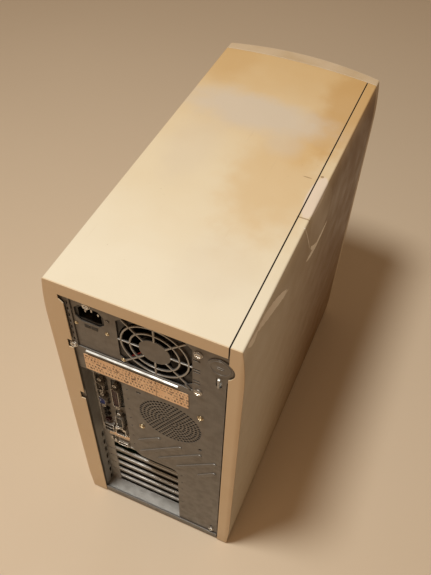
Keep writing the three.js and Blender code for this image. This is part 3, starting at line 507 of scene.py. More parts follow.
def wear_and_highlights(g, colour):
    """Specks, scuffs, a darkening towards the bottom, and pale rubbed edges that are partly a painted
    highlight.
    """
    specks = g.math("MULTIPLY", g.span(g.cells(9), 0.05, 0.09, 1, 0), g.span(g.noise(60), 0.52, 0.7))
    colour = g.tint(colour, GRIME, specks, 0.35)
    scuffs = g.span(g.noise(5, 6, (1, 0.06, 0.5)), 0.66, 0.74)
    colour = g.tint(colour, SCUFF_BROWN, scuffs, 0.12)
    # Darker towards the bottom, over the lowest 60 mm.
    colour = g.tint(colour, GRIME, g.span(g.axis("Z"), 3, 60, 0.30, 0), g.noise(14))
    # Pale rubbed edges, partly real wear and partly a painted highlight.
    worn_and_highlight = g.math("MULTIPLY", g.edges(1.2), g.span(g.noise(12, 4), 0.42, 0.62))
    return g.tint(colour, WORN_PALE_AND_HIGHLIGHT, worn_and_highlight, 0.45)


def cover_paint():
    """Aged baked enamel of the top cover and side panel. Painted shade darkens the side and the rear flanges
    and fills the gap between top and side, and a painted highlight runs along the side's crease.
    """
    g = Graph("cover_paint", roughness=0.42)
    colour = yellowing_and_painted_falloff(g)
    # Painted shade: the side panel is darkened, more strongly towards the front, standing in for the shade it
    # lies in and the light's falloff.
    side = g.span(g.minus(g.axis("X")), *SIDE_EDGE)
    shade = g.span(g.minus(g.axis("Y")), -230, 120, 0.38, 1.0)
    colour = g.tint(colour, SIDE_PAINTED_SHADE, side, shade)
    # Painted shade: the cover's rear flanges are tinted darker and deeper yellow for the warm, dimmer light
    # on the rear face.
    colour = g.tint(colour, DEEP_YELLOW, g.span(g.axis("Y"), *REAR_FACE_SHADE), 0.45)
    # Painted highlight: a pale line along the side panel's crease.
    crease = g.math("ABSOLUTE", g.math("SUBTRACT", g.axis("Z"), cover_high.z * 0.4))
    colour = g.tint(colour, CREAM, g.span(crease, 0.5, 1.2, 0.3, 0), side)
    colour, traces = clean_and_dark_spots(g, colour)
    # Painted shade in the gap between the top cover and the side panel, also made rough.
    seam_shade = g.math("ABSOLUTE", g.math("SUBTRACT", g.axis("X"), cover_low.x - SEAM_GAP / 2))
    seam_shade = g.span(seam_shade, 0.5, 0.9, 1, 0)
    colour = wear_and_highlights(g, g.mix(colour, SEAM_SHADE, seam_shade))
    rough = g.math("MAXIMUM", g.uneven(35, 4, 0.36, 0.52), seam_shade)
    fine = g.bump(g.noise(0.9, 2), 0.035, 0.35)
    waves = g.bump(g.noise(70, 2), 0.4, 0.3, fine)
    return g.done(colour, rough, g.bump(traces, 0.3, 0.6, waves))


def bezel_plastic(name="bezel_plastic", pale=(0.59, 0.48, 0.34), aged=(0.52, 0.40, 0.25)):
    """Spark-eroded moulded plastic, a little aged, with a painted highlight along its edges."""
    g = Graph(name, roughness=0.5)
    colour = g.mix(pale, aged, g.span(g.noise(55, 4), 0.35, 0.75))
    colour = g.tint(colour, (0.38, 0.29, 0.20), g.span(g.noise(7, 5), 0.55, 0.75), 0.12)
    # Painted highlight: a pale rim along the edges.
    colour = g.tint(colour, (0.82, 0.76, 0.66), g.edges(1.6), 0.85)
    rough = g.uneven(20, 3, 0.45, 0.62)
    return g.done(colour, rough, g.bump(g.noise(0.45, 2), 0.03, 0.5))


def sheet_steel(name, dull, shiny, roughness, metallic, streak=(1, 1, 0.08)):
    """Plated sheet: faint crystal spangle, rolling streaks, finger marks and bright rubbed edges that are
    partly a painted highlight.
    """
    g = Graph(name, roughness, metallic)
    spangle = g.cells(7, output="Color")
    split = g.add("ShaderNodeSeparateColor")
    g.link(spangle, split.inputs[0])
    colour = g.mix(dull, shiny, g.span(split.outputs["Red"], 0.1, 0.9, 0.35, 0.5))
    streaks = g.span(g.noise(1.2, 4, streak), 0.35, 0.7)
    colour = g.tint(colour, [0.7 * c for c in dull], streaks, 0.15)
    stain = g.span(g.noise(40, 4), 0.5, 0.85)
    colour = g.tint(colour, (0.16, 0.12, 0.09), stain, 0.2)
    # Bright edges: partly rubbed wear, partly a painted highlight.
    colour = g.tint(colour, shiny, g.edges(0.5), 0.5)
    rough = g.uneven(9, 4, roughness - 0.07, roughness + 0.12)
    return g.done(colour, rough, g.bump(g.noise(0.7, 3, streak), 0.02, 0.4))


def moulded(name, base, light, roughness=0.45, grain=0.35):
    """Moulded plastic or rubber with a fine grain, dust in its hollows and rubbed edges."""
    g = Graph(name, roughness)
    colour = g.mix(base, light, g.span(g.noise(12, 4), 0.4, 0.8, 0, 0.5))
    colour = g.tint(colour, light, g.edges(0.5), 0.5)
    colour = g.tint(colour, (0.35, 0.30, 0.24), g.span(g.noise(3, 5), 0.55, 0.75), 0.12)
    rough = g.uneven(6, 3, roughness - 0.08, roughness + 0.12)
    return g.done(colour, rough, g.bump(g.noise(grain, 2), 0.02, 0.4))


def circuit_board():
    """Solder mask over fine copper tracks, with tinned pads."""
    g = Graph("circuit_board", roughness=0.35)
    tracks = g.math("PINGPONG", g.math("ADD", g.axis("Z"), g.math("MULTIPLY", g.noise(9, 1), 9)), 1.0)
    colour = g.mix((0.03, 0.16, 0.07), (0.06, 0.26, 0.12), g.span(tracks, 0.55, 0.7))
    pads = g.span(g.cells(3.2), 0.13, 0.18, 1, 0)
    colour = g.tint(colour, (0.62, 0.58, 0.50), pads, 0.8)
    colour = g.tint(colour, (0.30, 0.27, 0.22), g.span(g.noise(5, 5), 0.5, 0.8), 0.3)
    rough = g.uneven(4, 3, 0.28, 0.5)
    return g.done(colour, rough, g.bump(tracks, 0.03, 0.5))


def ribbon_pvc():
    """A flat cable's ribs, one conductor to each."""
    g = Graph("ribbon_pvc", roughness=0.45)
    ribs = g.math("PINGPONG", g.axis("X"), 0.635)
    colour = g.mix((0.34, 0.34, 0.33), (0.52, 0.52, 0.50), g.span(ribs, 0.05, 0.5))
    colour = g.tint(colour, (0.30, 0.26, 0.20), g.span(g.noise(8, 4), 0.5, 0.8), 0.3)
    return g.done(colour, g.uneven(5, 3, 0.4, 0.55), g.bump(ribs, 0.3, 0.7))


def light_lens():
    g = Graph("light_lens", roughness=0.2)
    g.shader.inputs["Transmission Weight"].default_value = 0.35
    colour = g.mix((0.16, 0.34, 0.10), (0.30, 0.52, 0.20), g.noise(2, 3))
    return g.done(colour, g.uneven(1.5, 3, 0.15, 0.3), g.bump(g.noise(0.6), 0.03, 0.4))


def label_paper():
    """Aged paper with rows of generic bars and blocks in place of print."""
    g = Graph("label_paper", roughness=0.55)
    paper = g.mix((0.92, 0.70, 0.48), (0.84, 0.60, 0.38), g.span(g.noise(14, 4), 0.35, 0.75))
    place = g.add("ShaderNodeCombineXYZ")
    g.link(g.axis("X"), place.inputs[0])
    g.link(g.axis("Z"), place.inputs[1])
    rows = g.add("ShaderNodeTexBrick", offset=0.37, squash=1.9, squash_frequency=3)
    g.link(place.outputs[0], rows.inputs["Vector"])
    for name, value in (("Scale", 1.0), ("Mortar Size", 1.0), ("Mortar Smooth", 0.4), ("Bias", -0.45),
                        ("Brick Width", 3.6), ("Row Height", 5.0)):
        rows.inputs[name].default_value = value
    rows.inputs["Color1"].default_value = (1, 1, 1, 1)
    rows.inputs["Color2"].default_value = (0, 0, 0, 1)
    rows.inputs["Mortar"].default_value = (0, 0, 0, 1)
    busy = g.span(g.noise(13, 2, (0.6, 1, 1.8)), 0.36, 0.42)
    bars = g.math("MULTIPLY", rows.outputs["Color"], busy)
    margin_low = g.span(g.axis("Z"), label_low.z + 1.6, label_low.z + 2.2)
    margin_high = g.span(g.axis("Z"), label_high.z - 2.2, label_high.z - 1.6, 1, 0)
    broken = g.span(g.noise(1.3, 2, (1, 1, 0.7)), 0.36, 0.46)
    bars = g.math("MULTIPLY", bars, broken)
    ink = g.math("MULTIPLY", g.math("MULTIPLY", bars, margin_low), margin_high)
    colour = g.tint(paper, (0.07, 0.03, 0.02), ink, 0.85)
    blocks = g.span(g.cells(13, stretch=(1, 1, 1.3)), 0.13, 0.16, 1, 0)
    colour = g.tint(colour, (0.16, 0.07, 0.03), blocks, 0.8)
    rough = g.uneven(4, 3, 0.42, 0.6)
    return g.done(colour, rough, g.bump(g.noise(0.5, 3), 0.02, 0.4))


def brass():
    g = Graph("brass", 0.3, 0.9)
    colour = g.mix((0.60, 0.50, 0.33), (0.42, 0.33, 0.20), g.span(g.noise(1.6, 4), 0.35, 0.7))
    colour = g.tint(colour, (0.85, 0.74, 0.52), g.edges(0.3), 0.6)
    return g.done(colour, g.uneven(1.0, 3, 0.22, 0.42), g.bump(g.noise(0.4), 0.02, 0.4))


def pale_floor():
    g = Graph("pale_floor", roughness=0.6)
    colour = g.mix((0.78, 0.68, 0.54), (0.74, 0.64, 0.50), g.noise(400, 3))
    return g.done(colour, g.uneven(200, 3, 0.55, 0.7), g.bump(g.noise(3), 0.02, 0.2))


STEEL_DULL = (0.135, 0.132, 0.128)
STEEL_SHINY = (0.225, 0.218, 0.208)
ZINC_DULL = (0.32, 0.33, 0.33)
ZINC_SHINY = (0.48, 0.49, 0.49)
BRIGHT_DULL = (0.52, 0.50, 0.47)
BRIGHT_SHINY = (0.78, 0.76, 0.72)
CAST_DULL = (0.42, 0.42, 0.43)
CAST_SHINY = (0.62, 0.62, 0.63)

MATERIALS = {
    "cover_paint": cover_paint(),
    "bezel_plastic": bezel_plastic(),
    "chassis_steel": sheet_steel("chassis_steel", STEEL_DULL, STEEL_SHINY, 0.42, 0.4),
    "bright_steel": sheet_steel("bright_steel", BRIGHT_DULL, BRIGHT_SHINY, 0.27, 0.9, (0.08, 1, 1)),
    "cast_aluminium": sheet_steel("cast_aluminium", CAST_DULL, CAST_SHINY, 0.38, 0.85, (1, 1, 1)),
    "black_plastic": moulded("black_plastic", (0.008, 0.008, 0.009), (0.03, 0.029, 0.028)),
    "foot_rubber": moulded("foot_rubber", (0.018, 0.018, 0.019), (0.06, 0.058, 0.055), 0.8, 0.8),
    "circuit_board": circuit_board(),
    "label_paper": label_paper(),
    "ribbon_pvc": ribbon_pvc(),
    "blue_plastic": moulded("blue_plastic", (0.012, 0.030, 0.22), (0.05, 0.10, 0.40)),
    "burgundy_plastic": moulded("burgundy_plastic", (0.030, 0.004, 0.008), (0.075, 0.014, 0.022)),
    "drive_plastic": bezel_plastic("drive_plastic", (0.58, 0.47, 0.32), (0.48, 0.35, 0.20)),
    "light_lens": light_lens(),
}
BRASS = brass()
ZINC = sheet_steel("zinc", ZINC_DULL, ZINC_SHINY, 0.38, 0.45)


# ---------- the frame's own pieces ----------

def smooth_group():
    """Geometry nodes that weld the vertices and shade them smooth."""
    group = bpy.data.node_groups.new("weld_and_smooth", "GeometryNodeTree")
    group.interface.new_socket("Geometry", in_out="INPUT", socket_type="NodeSocketGeometry")
    group.interface.new_socket("Geometry", in_out="OUTPUT", socket_type="NodeSocketGeometry")
    start = group.nodes.new("NodeGroupInput")
    weld = group.nodes.new("GeometryNodeMergeByDistance")
    weld.inputs["Distance"].default_value = 0.01 * MM
    smooth = group.nodes.new("GeometryNodeSetShadeSmooth")
    end = group.nodes.new("NodeGroupOutput")
    group.links.new(start.outputs[0], weld.inputs[0])
    group.links.new(weld.outputs[0], smooth.inputs[0])
    group.links.new(smooth.outputs[0], end.inputs[0])
    return group


def dress_cad_nodes():
    """Each CAD node gets its slot's material and small rounded edges."""
    group = smooth_group()
    slots = {row["node"]: row["material_slot"] for row in frame["record"]["subparts"]}
    for name, node in frame["nodes"].items():
        node.data.materials.clear()
        node.data.materials.append(MATERIALS[slots[name]])
        node.modifiers.new("weld", "NODES").node_group = group
        flatten = node.modifiers.new("flatten", "DECIMATE")
        flatten.decimate_type = "DISSOLVE"
        flatten.angle_limit = math.radians(0.6)
        bevel = node.modifiers.new("round_edges", "BEVEL")
        bevel.width = (0.5 if slots[name] in ("cover_paint", "bezel_plastic") else 0.25) * MM
        bevel.segments = 2
        bevel.limit_method = "ANGLE"
        bevel.angle_limit = math.radians(32)
        bevel.harden_normals = True
        node.modifiers.new("even_light", "WEIGHTED_NORMAL").keep_sharp = True


dress_cad_nodes()


# ---------- rear panel ----------

PORT_BAY_RIGHT = shield_low.x - 3.8
CARD_BAY_TOP = FIRST_SLOT + 17
STEP_HIGH = 14.2


def recess_outline(grow=0.0):
    """The recess from behind: the port bay above, the card bay below, and a slanted step between them."""
    left = recess_high.x - RECESS_WALL + grow
    right = recess_low.x + RECESS_WALL - grow
    top = recess_high.z - RECESS_WALL + grow
    low = recess_low.z + RECESS_WALL - grow
    bay_right = PORT_BAY_RIGHT - grow
    card_top = CARD_BAY_TOP + grow
    step_z = CARD_BAY_TOP + STEP_HIGH
    corner = 8
    points = [(left, low), (left, top), (bay_right, top), (bay_right, step_z),
              (bay_right - step_z + card_top, card_top)]
    points += arc(right + corner, card_top - corner, corner, TURN / 4, TURN / 4, 6)
    return points + [(right, low)]


def vent_holes():
    """Round holes in rings, over the case fan."""
    radius = 1.74
    pitch = 4.4
    holes = [circle(case_fan.x, case_fan.z, radius, 8)]
    for ring in range(1, 9):
        places = circle(case_fan.x, case_fan.z, pitch * ring, 6 * ring)
        holes += [circle(x, z, radius, 8) for x, z in places]
    return holes


def screw_holes():
    """Holes for the supply's and the fan's screws, the padlock's slot and a screw hole low down."""
    holes = [circle(s.x, s.z, 2.1, 12) for s in supply_screws]
    holes.append(around(case_fan.x + FAN_SCREW, case_fan.z + FAN_SCREW, 5.4, 2.8, 1.3))
    holes.append(circle(case_fan.x - FAN_SCREW, case_fan.z - FAN_SCREW, 2.0, 14))
    holes.append(around(loop.x, loop.z, 6.4, 16.5, 3.1))
    holes.append(circle(loop.x + 0.6, recess_low.z + 21.6, 1.9, 14))
    return holes


def dimples():
    """Small contact dimples beside the port bay and the card bay."""
    beside_ports = [case_fan.z + dz for dz in (32.5, 13.4, -7.7, -27, -44.6, -68.3, -89.5)]
    beside_cards = [FIRST_SLOT + 10 - SLOT_PITCH * 0.96 * i for i in range(6)]
    return ([around(PORT_BAY_RIGHT - 6, z, 2.4, 1.5, 0.7, 2) for z in beside_ports]
            + [around(recess_low.x - 4.5, z, 2.2, 1.6, 0.7, 2) for z in beside_cards])


def slits():
    """Short slits beside the supply, a long one at the side panel, a row on the far side, a slanted one."""
    x = supply_screws[1].x + 4.8
    beside_supply = [supply_fan.z + dz for dz in (16.3, 1.4, -2.8, -17.7, -22.5)]
    holes = [capsule((x, z), (x - 6.2, z), 0.8) for z in beside_supply]
    holes.append(around(side_low.x + 17.1, panel_low.z + 200, 1.4, 370, 0.6, 2))
    holes += [around(supply_high.x - 7.6, supply_low.z + 6 + 9.6 * i, 1.5, 5.2, 0.6, 2) for i in range(8)]
    x, z = supply_screws[1].x + 11, supply_screws[1].z + 0.5
    holes.append(capsule((x + 2.4, z + 2.4), (x - 2.4, z - 2.4), 1.2))
    return holes


def supply_window():
    """The panel's opening over the power supply, with a round ear that carries its top screw."""
    x0, x1 = supply_low.x + 12.1, supply_high.x - 10.6
    z0, z1 = supply_low.z + 4.8, supply_high.z - 3.7
    ear = supply_screws[3]
    ear_arc = [(a, min(b, z1)) for a, b in arc(ear.x, ear.z, 5.2, 0, -TURN / 2, 8)]
    return [(x0, z0), (x1, z0), (x1, z1)] + ear_arc + [(x0, z1)]


def rear_panel():
    """The panel with all its openings, and the folded shelf below the power supply, which is given lighter
    zinc as a painted highlight.
    """
    x0, x1, z0, z1 = panel_low.x, panel_high.x, panel_low.z, panel_high.z
    outer = [(x0, z0), (x1, z0), (x1, z1), (x0, z1)]
    openings = [recess_outline(), supply_window(), *screw_holes(), *dimples(), *slits(), *vent_holes()]
    inner_y, outer_y = PANEL_OUT - 0.8, PANEL_OUT + 1.7
    under = supply_low.z
    lip = [(inner_y, under + 0.6), (outer_y, under + 1.0), (outer_y, under + 1.8), (inner_y, under + 2.8)]
    # Painted highlight: this fold of the panel gets the lighter zinc for its lit top.
    solid("supply_shelf", "bright_steel", [lip], supply_fan.x - 24.8, supply_high.x - 19.1, 0.25, "x",
          material=ZINC)
    solid("rear_panel_sheet", "chassis_steel", [outer, *openings], PANEL_IN, PANEL_OUT, nodes=["rear_panel"])


def panel_ribs():
    """Five slanting stiffening ribs below the vent, with rims of lighter zinc along their edges as a painted
    highlight.
    """
    ribs = Build()
    highlight_rims = Build()
    feet = case_fan.z - 101.6
    for x, z, x1, z1 in ((41.1, 27.3, 15.7, 51.5), (40.1, 0, -10.8, 50.4), (15.7, 2, -35.2, 51.5),
                         (-7.7, 0, -53.4, 44.4), (-35.2, 0, -53.4, 20.2)):
        start = (case_fan.x + x, feet + z)
        end = (case_fan.x + x1, feet + z1)
        outer = capsule(start, end, 2.5)
        ribs.plate([outer], PANEL_OUT - 0.6, PANEL_OUT + 1.2, 0.8)
        # Painted highlight: a lighter rim round each rib.
        highlight_rims.plate([outer, capsule(start, end, 1.6)], PANEL_OUT - 0.2, PANEL_OUT + 0.9, 0.35)
    ribs.save("panel_ribs", "chassis_steel")
    highlight_rims.save("panel_rib_highlights", "chassis_steel", material=ZINC)


def finger_tab():
    """The round boss that the side panel's notch closes on, with a pressed ring and a short double bar."""
    x, z = TAB
    raised = PANEL_OUT + SHEET + 0.4
    build = Build()
    build.plate([circle(x, z, TAB_RADIUS, 40)], PANEL_OUT - 0.3, PANEL_OUT + SHEET, 0.35)
    build.plate([circle(x, z, 11.0, 36), circle(x, z, 9.4, 36)], PANEL_OUT, raised, 0.3)
    for dz in (-1.3, 1.3):
        build.plate([capsule((x - 3, z + dz), (x + 3, z + dz), 0.7)], PANEL_OUT, raised, 0.25)
    build.save("finger_tab", "chassis_steel")


def padlock_staple():
    """A bent strip that stands through the panel's slot for a padlock."""
    y0, y1 = PANEL_IN - 1, loop_high.y
    half = 7
    bend = [(y0, loop.z - half), (y1 - 2.6, loop.z - half), (y1 - 0.9, loop.z - half + 0.7),
            (y1 - 0.6, loop.z - half + 2.4), (y1 - 0.6, loop.z + half - 2.4), (y1 - 0.9, loop.z + half - 0.7),
            (y1 - 2.6, loop.z + half), (y0, loop.z + half)]
    build = Build()
    build.sheet(bend, 0.9, loop.x - 1.1, loop.x + 1.1)
    build.plate([around(loop.x, loop.z, 12, 22, 1.5)], loop_low.y, loop_low.y + SHEET, 0.2)
    build.save("padlock_staple", "bright_steel", nodes=["padlock_loop"], material=ZINC)


def labels():
    """Two paper labels side by side."""
    joint = supply_fan.x
    for name, x0, x1 in (("label_left", joint + 0.2, label_high.x),
                         ("label_right", label_low.x, joint - 0.2)):
        outline = rounded(x0, x1, label_low.z, label_high.z, 1.2)
        solid(name, "label_paper", [outline], label_low.y, label_high.y, 0.1, nodes=["label_strip"])


def cross(x, z, reach, half):
    """A screw's cross recess: one arm's corners, turned by quarters."""
    arm = [(half, half), (reach, half), (reach, -half)]
    points = []
    for quarter in range(4):
        c, s = (1, 0, -1, 0)[quarter], (0, -1, 0, 1)[quarter]
        points += [(x + a * c - b * s, z + a * s + b * c) for a, b in arm]
    return points


def screw(build, x, z, y0, high, radius, hexagon=True):
    """A screw head with a washer face and a cross recess."""
    build.plate([circle(x, z, radius * 1.12, 24)], y0, y0 + high * 0.35, 0.1)
    head = circle(x, z, radius, 6, 0.3) if hexagon else circle(x, z, radius * 0.9, 24)
    recess_shape = cross(x, z, radius * 0.55, radius * 0.14)
    build.plate([head, recess_shape], y0 + high * 0.3, y0 + high, min(0.25, high * 0.2))
    build.plate([circle(x, z, radius * 0.7, 16)], y0 + high * 0.3, y0 + high * 0.6, 0.1)


def fasteners():
    for i, place in enumerate(supply_screws, 1):
        build = Build()
        screw(build, place.x, place.z, PANEL_OUT + 0.05, 2.3, 4.0)
        build.prism(circle(place.x, place.z, 1.6, 12), SUPPLY_FACE - 5, PANEL_OUT + 0.6)
        build.save(f"psu_screw_head_{i}", "bright_steel", nodes=[f"psu_screw_{i}"])
    build = Build()
    for way in (-1, 1):
        screw(build, case_fan.x + way * FAN_SCREW, case_fan.z - way * FAN_SCREW, PANEL_OUT, 1.7, 3.1, False)
    build.save("fan_screws", "bright_steel", material=BRASS)
    build = Build()
    screw(build, loop.x + 0.6, recess_low.z + 13, PANEL_OUT, 2.0, 3.2, False)
    build.save("panel_screw", "bright_steel")


# ---------- power supply face ----------

def supply_fittings():
    build = Build()
    for dx, dz in ((16.2, -18.2), (-17.9, -18.2)):
        screw(build, inlet.x + dx, inlet.z + dz, SUPPLY_FACE, 1.0, 2.0, False)
    screw(build, supply_fan.x + 35.8, supply_fan.z - 33.5, SUPPLY_FACE, 1.0, 2.4, False)
    build.save("supply_screws", "bright_steel", material=BRASS)
    build = Build()
    for dx in (-20, 20):
        build.plate([circle(inlet.x + dx, inlet.z + 2, 2.2, 20)], SUPPLY_FACE, SUPPLY_FACE + 0.8, 0.3)
    build.save("inlet_rivets", "chassis_steel")
    # Painted shade: two flat black plates stand in for the dark insides of two small slots below the inlet.
    build = Build()
    for x0, x1 in ((-7.8, -0.6), (0.4, 7.0)):
        build.plate([rounded(inlet.x + x0, inlet.x + x1, inlet.z - 20, inlet.z - 15.4, 0.6)],
                    SUPPLY_FACE, SUPPLY_FACE + 0.4, 0.12)
    build.save("supply_slot_shades", "black_plastic")


def supply_grille():
    """Rounded, rubbed wires over the fan opening: two hoops and eight spokes."""
    x, z = supply_fan.x, supply_fan.z
    near, far = SUPPLY_FACE - 0.4, SUPPLY_FACE + 0.5
    build = Build()
    for radius in (26.4, 36):
        build.plate([circle(x, z, radius + 0.8, 56), circle(x, z, radius - 0.8, 56)], near, far, 0.3)
    for i in range(8):
        turn = TURN * i / 8
        reach = 46 if i % 2 else 39
        inner = (x + 17 * math.cos(turn), z + 17 * math.sin(turn))
        outer = (x + reach * math.cos(turn), z + reach * math.sin(turn))
        build.plate([capsule(inner, outer, 0.8)], near, far, 0.3)
    build.save("supply_grille", "bright_steel", material=ZINC)


def power_socket():
    """The recessed mains inlet: a flange, a deep mouth with two cut corners, and three flat pins."""
    low, high = box_mm("power_inlet")
    x, z = inlet.x, inlet.z
    x0, x1, z0, z1 = x - 12.5, x + 12.5, z - 9, z + 9
    clip = 4
    mouth = [(x0, z0), (x1, z0), (x1, z1 - clip), (x1 - clip, z1), (x0 + clip, z1), (x0, z1 - clip)]
    build = Build()
    build.plate([inset(low, high, 0, 4), mouth], high.y - 3, high.y, 0.4)
    build.plate([around(x, z, 30, 24, 3), mouth], low.y + 1, high.y - 2.5, 0.3)
    build.plate([around(x, z, 30, 24, 3)], low.y, low.y + 2.2, 0.3)
    build.save("power_socket", "black_plastic", nodes=["power_inlet"])
    build = Build()
    for dx, dz in ((-7, -1), (0, 2), (7, -1)):
        build.plate([around(x + dx, z + dz, 2, 4, 0.5)], low.y + 2, high.y - 3, 0.35)
    build.save("inlet_pins", "bright_steel")


def supply_wires():
    """Two thin leads that show through the lower left of the grille."""
    y = SUPPLY_FACE - SHEET - 1.4
    x, z = supply_fan.x, supply_fan.z
    for name, shade, drop in (("fan_lead_red", (0.17, 0.010, 0.008), 0),
                              ("fan_lead_black", (0.02, 0.02, 0.02), 2.4)):
        build = Build()
        build.tube([(x + 14, y, z - 9 - drop), (x + 20, y + 0.2, z - 17 - drop), (x + 27, y, z - 25 - drop),
                    (x + 33, y, z - 33 - drop)], 0.8)
        light = [min(1, c * 1.8 + 0.02) for c in shade]
        build.save(name, "black_plastic", material=moulded(name, shade, light, 0.4, 0.6))


# ---------- fans ----------

def fan_blade(bm, blade, point):
    """One blade: two curved skins, and the rim that closes them."""
    across, spans = 8, 9
    back, face = [[[bm.verts.new(point(blade, j / spans, i / across - 0.5, side)) for i in range(across + 1)]
                   for j in range(spans + 1)] for side in (-0.6, 0.6)]
    quads = []
    for j in range(spans):
        for i in range(across):
            quads.append((back[j][i], back[j + 1][i], back[j + 1][i + 1], back[j][i + 1]))
            quads.append((face[j][i], face[j][i + 1], face[j + 1][i + 1], face[j + 1][i]))
    for i in (0, across):
        quads += [(back[j][i], back[j + 1][i], face[j + 1][i], face[j][i]) for j in range(spans)]
    for j in (0, spans):
        quads += [(back[j][i], back[j][i + 1], face[j][i + 1], face[j][i]) for i in range(across)]
    for quad in quads:
        bm.faces.new(quad)


def fan_rotor(node, body, axis, blades=7):
    """A fan's hub with swept, twisted blades of even thickness."""
    low, high = box_mm(node)
    middle = (low + high) / 2
    if axis == "y":
        deep, a, b, along = high.y - low.y, middle.x, middle.z, middle.y
    else:
        deep, a, b, along = high.x - low.x, middle.y, middle.z, middle.x
    radius = (high.z - low.z) / 2 - 0.4
    hub = radius * 0.47
    sweep, wrap, narrowing, camber = 0.28, 0.78, 0.10, 1.3

    def point(blade, t, s, side):
        """The place at t along a blade from its root and s across it, on one of its skins."""
        r = hub - 1 + (radius - hub + 1) * t
        turn = TURN * blade / blades + sweep * t + s * (wrap - narrowing * t)
        rise = s * (deep - 4.2) + camber * math.cos(math.pi * s) * (0.4 + t) + side
        return AXES[axis] @ Vector((a + r * math.cos(turn), b + r * math.sin(turn), along - 0.8 + rise))

    build = Build()
    build.plate([circle(a, b, hub, 32)], along - deep / 2, along + deep / 2, 1.4, axis)
    build.plate([circle(a, b, hub * 0.55, 28)], along + deep / 2 - 1.6, along + deep / 2 - 0.1, 0.3, axis)
    for blade in range(blades):
        fan_blade(build.bm, blade, point)
    build.save(f"{body}_blades", "black_plastic", body, [node])


# ---------- recess, ports and cards ----------

# For each D-shaped port: node, shell's length, opening's length, slot, rows, pins in a row, male or not.
D_PORTS = (
    ("serial_port", 16.9, 33, "black_plastic", 2, 5, True),
    ("video_port", 16.9, 30, "blue_plastic", 3, 5, False),
    ("printer_port", 38.9, 58, "burgundy_plastic", 2, 13, False),
    ("game_port", 25.2, 35, "black_plastic", 2, 8, False),
)
PORT_FACE = shield_high.y
PORT_COLUMNS = (centre("serial_port").x, centre("printer_port").x)
JACK_Z = [centre("audio_jacks").z + dz for dz in (10.7, -1.3, -13.8)]


def recess_floor():
    """The recess's floor: its port window, card slots, slits for tongues, and ribs between the slots."""
    openings = [inset(shield_low, shield_high, 0.8, 1.5)]
    slits = []
    for i in range(SLOT_COUNT):
        z = FIRST_SLOT - SLOT_PITCH * i
        openings.append(rounded(*SLOT_X, z - SLOT_HIGH / 2, z + SLOT_HIGH / 2, 0.8))
        if i > 1:
            slits.append(rounded(SLOT_X[1] + 1, SLOT_X[1] + 9.8, z + 4, z + 5.4, 0.5))
    build = Build()
    build.plate([recess_outline(-0.3), *openings, *slits], FLOOR_Y - RECESS_WALL, FLOOR_Y, 0.2)
    for i in range(1, SLOT_COUNT):
        z = FIRST_SLOT - SLOT_PITCH * (i - 0.5)
        build.plate([capsule((SLOT_X[0] + 2, z), (SLOT_X[1] - 2, z), 1.7)], FLOOR_Y - 1, FLOOR_Y + 0.9, 0.7)
    build.save("recess_floor_sheet", "chassis_steel", nodes=["recess_floor"], material=ZINC)


def port_lip():
    """A folded edge below the ports, in bright steel as a painted highlight."""
    near, far = FLOOR_Y - 0.4, FLOOR_Y + 2.4
    z = shield_low.z
    lip = [(near, z - 4.1), (far, z - 3.6), (far, z - 2.6), (near, z + 0.4)]
    # Painted highlight: the fold is given bright steel rather than the floor's zinc.
    solid("port_lip", "bright_steel", [lip], shield_low.x + 7.4, shield_high.x - 9.2, 0.2, "x")


def recess_sides():
    """The recess's wall, with a notch for each card slot."""
    x, y = recess_high.x, FLOOR_Y + 3
    tool = Build()
    for i in range(SLOT_COUNT):
        z = FIRST_SLOT + 1.2 - SLOT_PITCH * i
        tool.plate([capsule((y, z - 4), (y, z + 4), 2)], x - 3, x + 2, 0.01, "x")
    wall = Build()
    wall.plate([recess_outline(RECESS_WALL), recess_outline()], recess_low.y, recess_high.y, 0.12)
    wall.save("recess_wall_sheet", "chassis_steel", nodes=["recess_wall"], cut=tool, material=ZINC)


def port_plate():
    """The plate behind the ports, with its raised rim in bright steel as a painted highlight, and a black
    backing as painted shade behind the openings.
    """
    openings = []
    for node, _, opening, *_ in D_PORTS:
        place = centre(node)
        openings.append(around(place.x + 0.6, place.z, 14.4, opening, 6.8, 6))
    openings += [around(PORT_COLUMNS[0] + 0.5, z, 9.4, 7.2, 3.4, 6) for z in JACK_Z]
    low, high = box_mm("network_usb_ports")
    openings.append(rounded(low.x - 0.3, low.x + 14.6, low.z - 0.3, high.z + 0.3, 0.6))
    openings.append(rounded(low.x + 16.4, high.x + 0.3, low.z - 0.3, high.z + 0.3, 0.6))
    round_z = centre("keyboard_mouse_ports").z
    openings += [circle(x, round_z, 6.8, 28) for x in PORT_COLUMNS]
    edge = inset(shield_low, shield_high, 0, 1.0)
    inner = inset(shield_low, shield_high, 1.3, 1.0)
    ridge = rounded(shield_high.x - 1.5, shield_high.x - 0.1, shield_low.z + 2, shield_high.z - 2, 0.5)
    solid("port_plate", "chassis_steel", [edge, *openings], shield_low.y, shield_high.y, 0.2,
          nodes=["port_shield"])
    # Painted highlight: the rim and the ridge on its left side are given bright steel so they read as lit
    # edges.
    rim = Build()
    rim.plate([edge, inner], shield_high.y - 0.1, shield_high.y + 0.5, 0.2)
    rim.plate([ridge], shield_high.y, shield_high.y + 1.3, 0.4)
    rim.save("port_plate_rim", "bright_steel")
    # Painted shade: a black sheet behind the shield darkens every opening.
    solid("port_shade_backing", "black_plastic", [inner], shield_low.y - 1.4, shield_low.y - 0.6, 0.2)


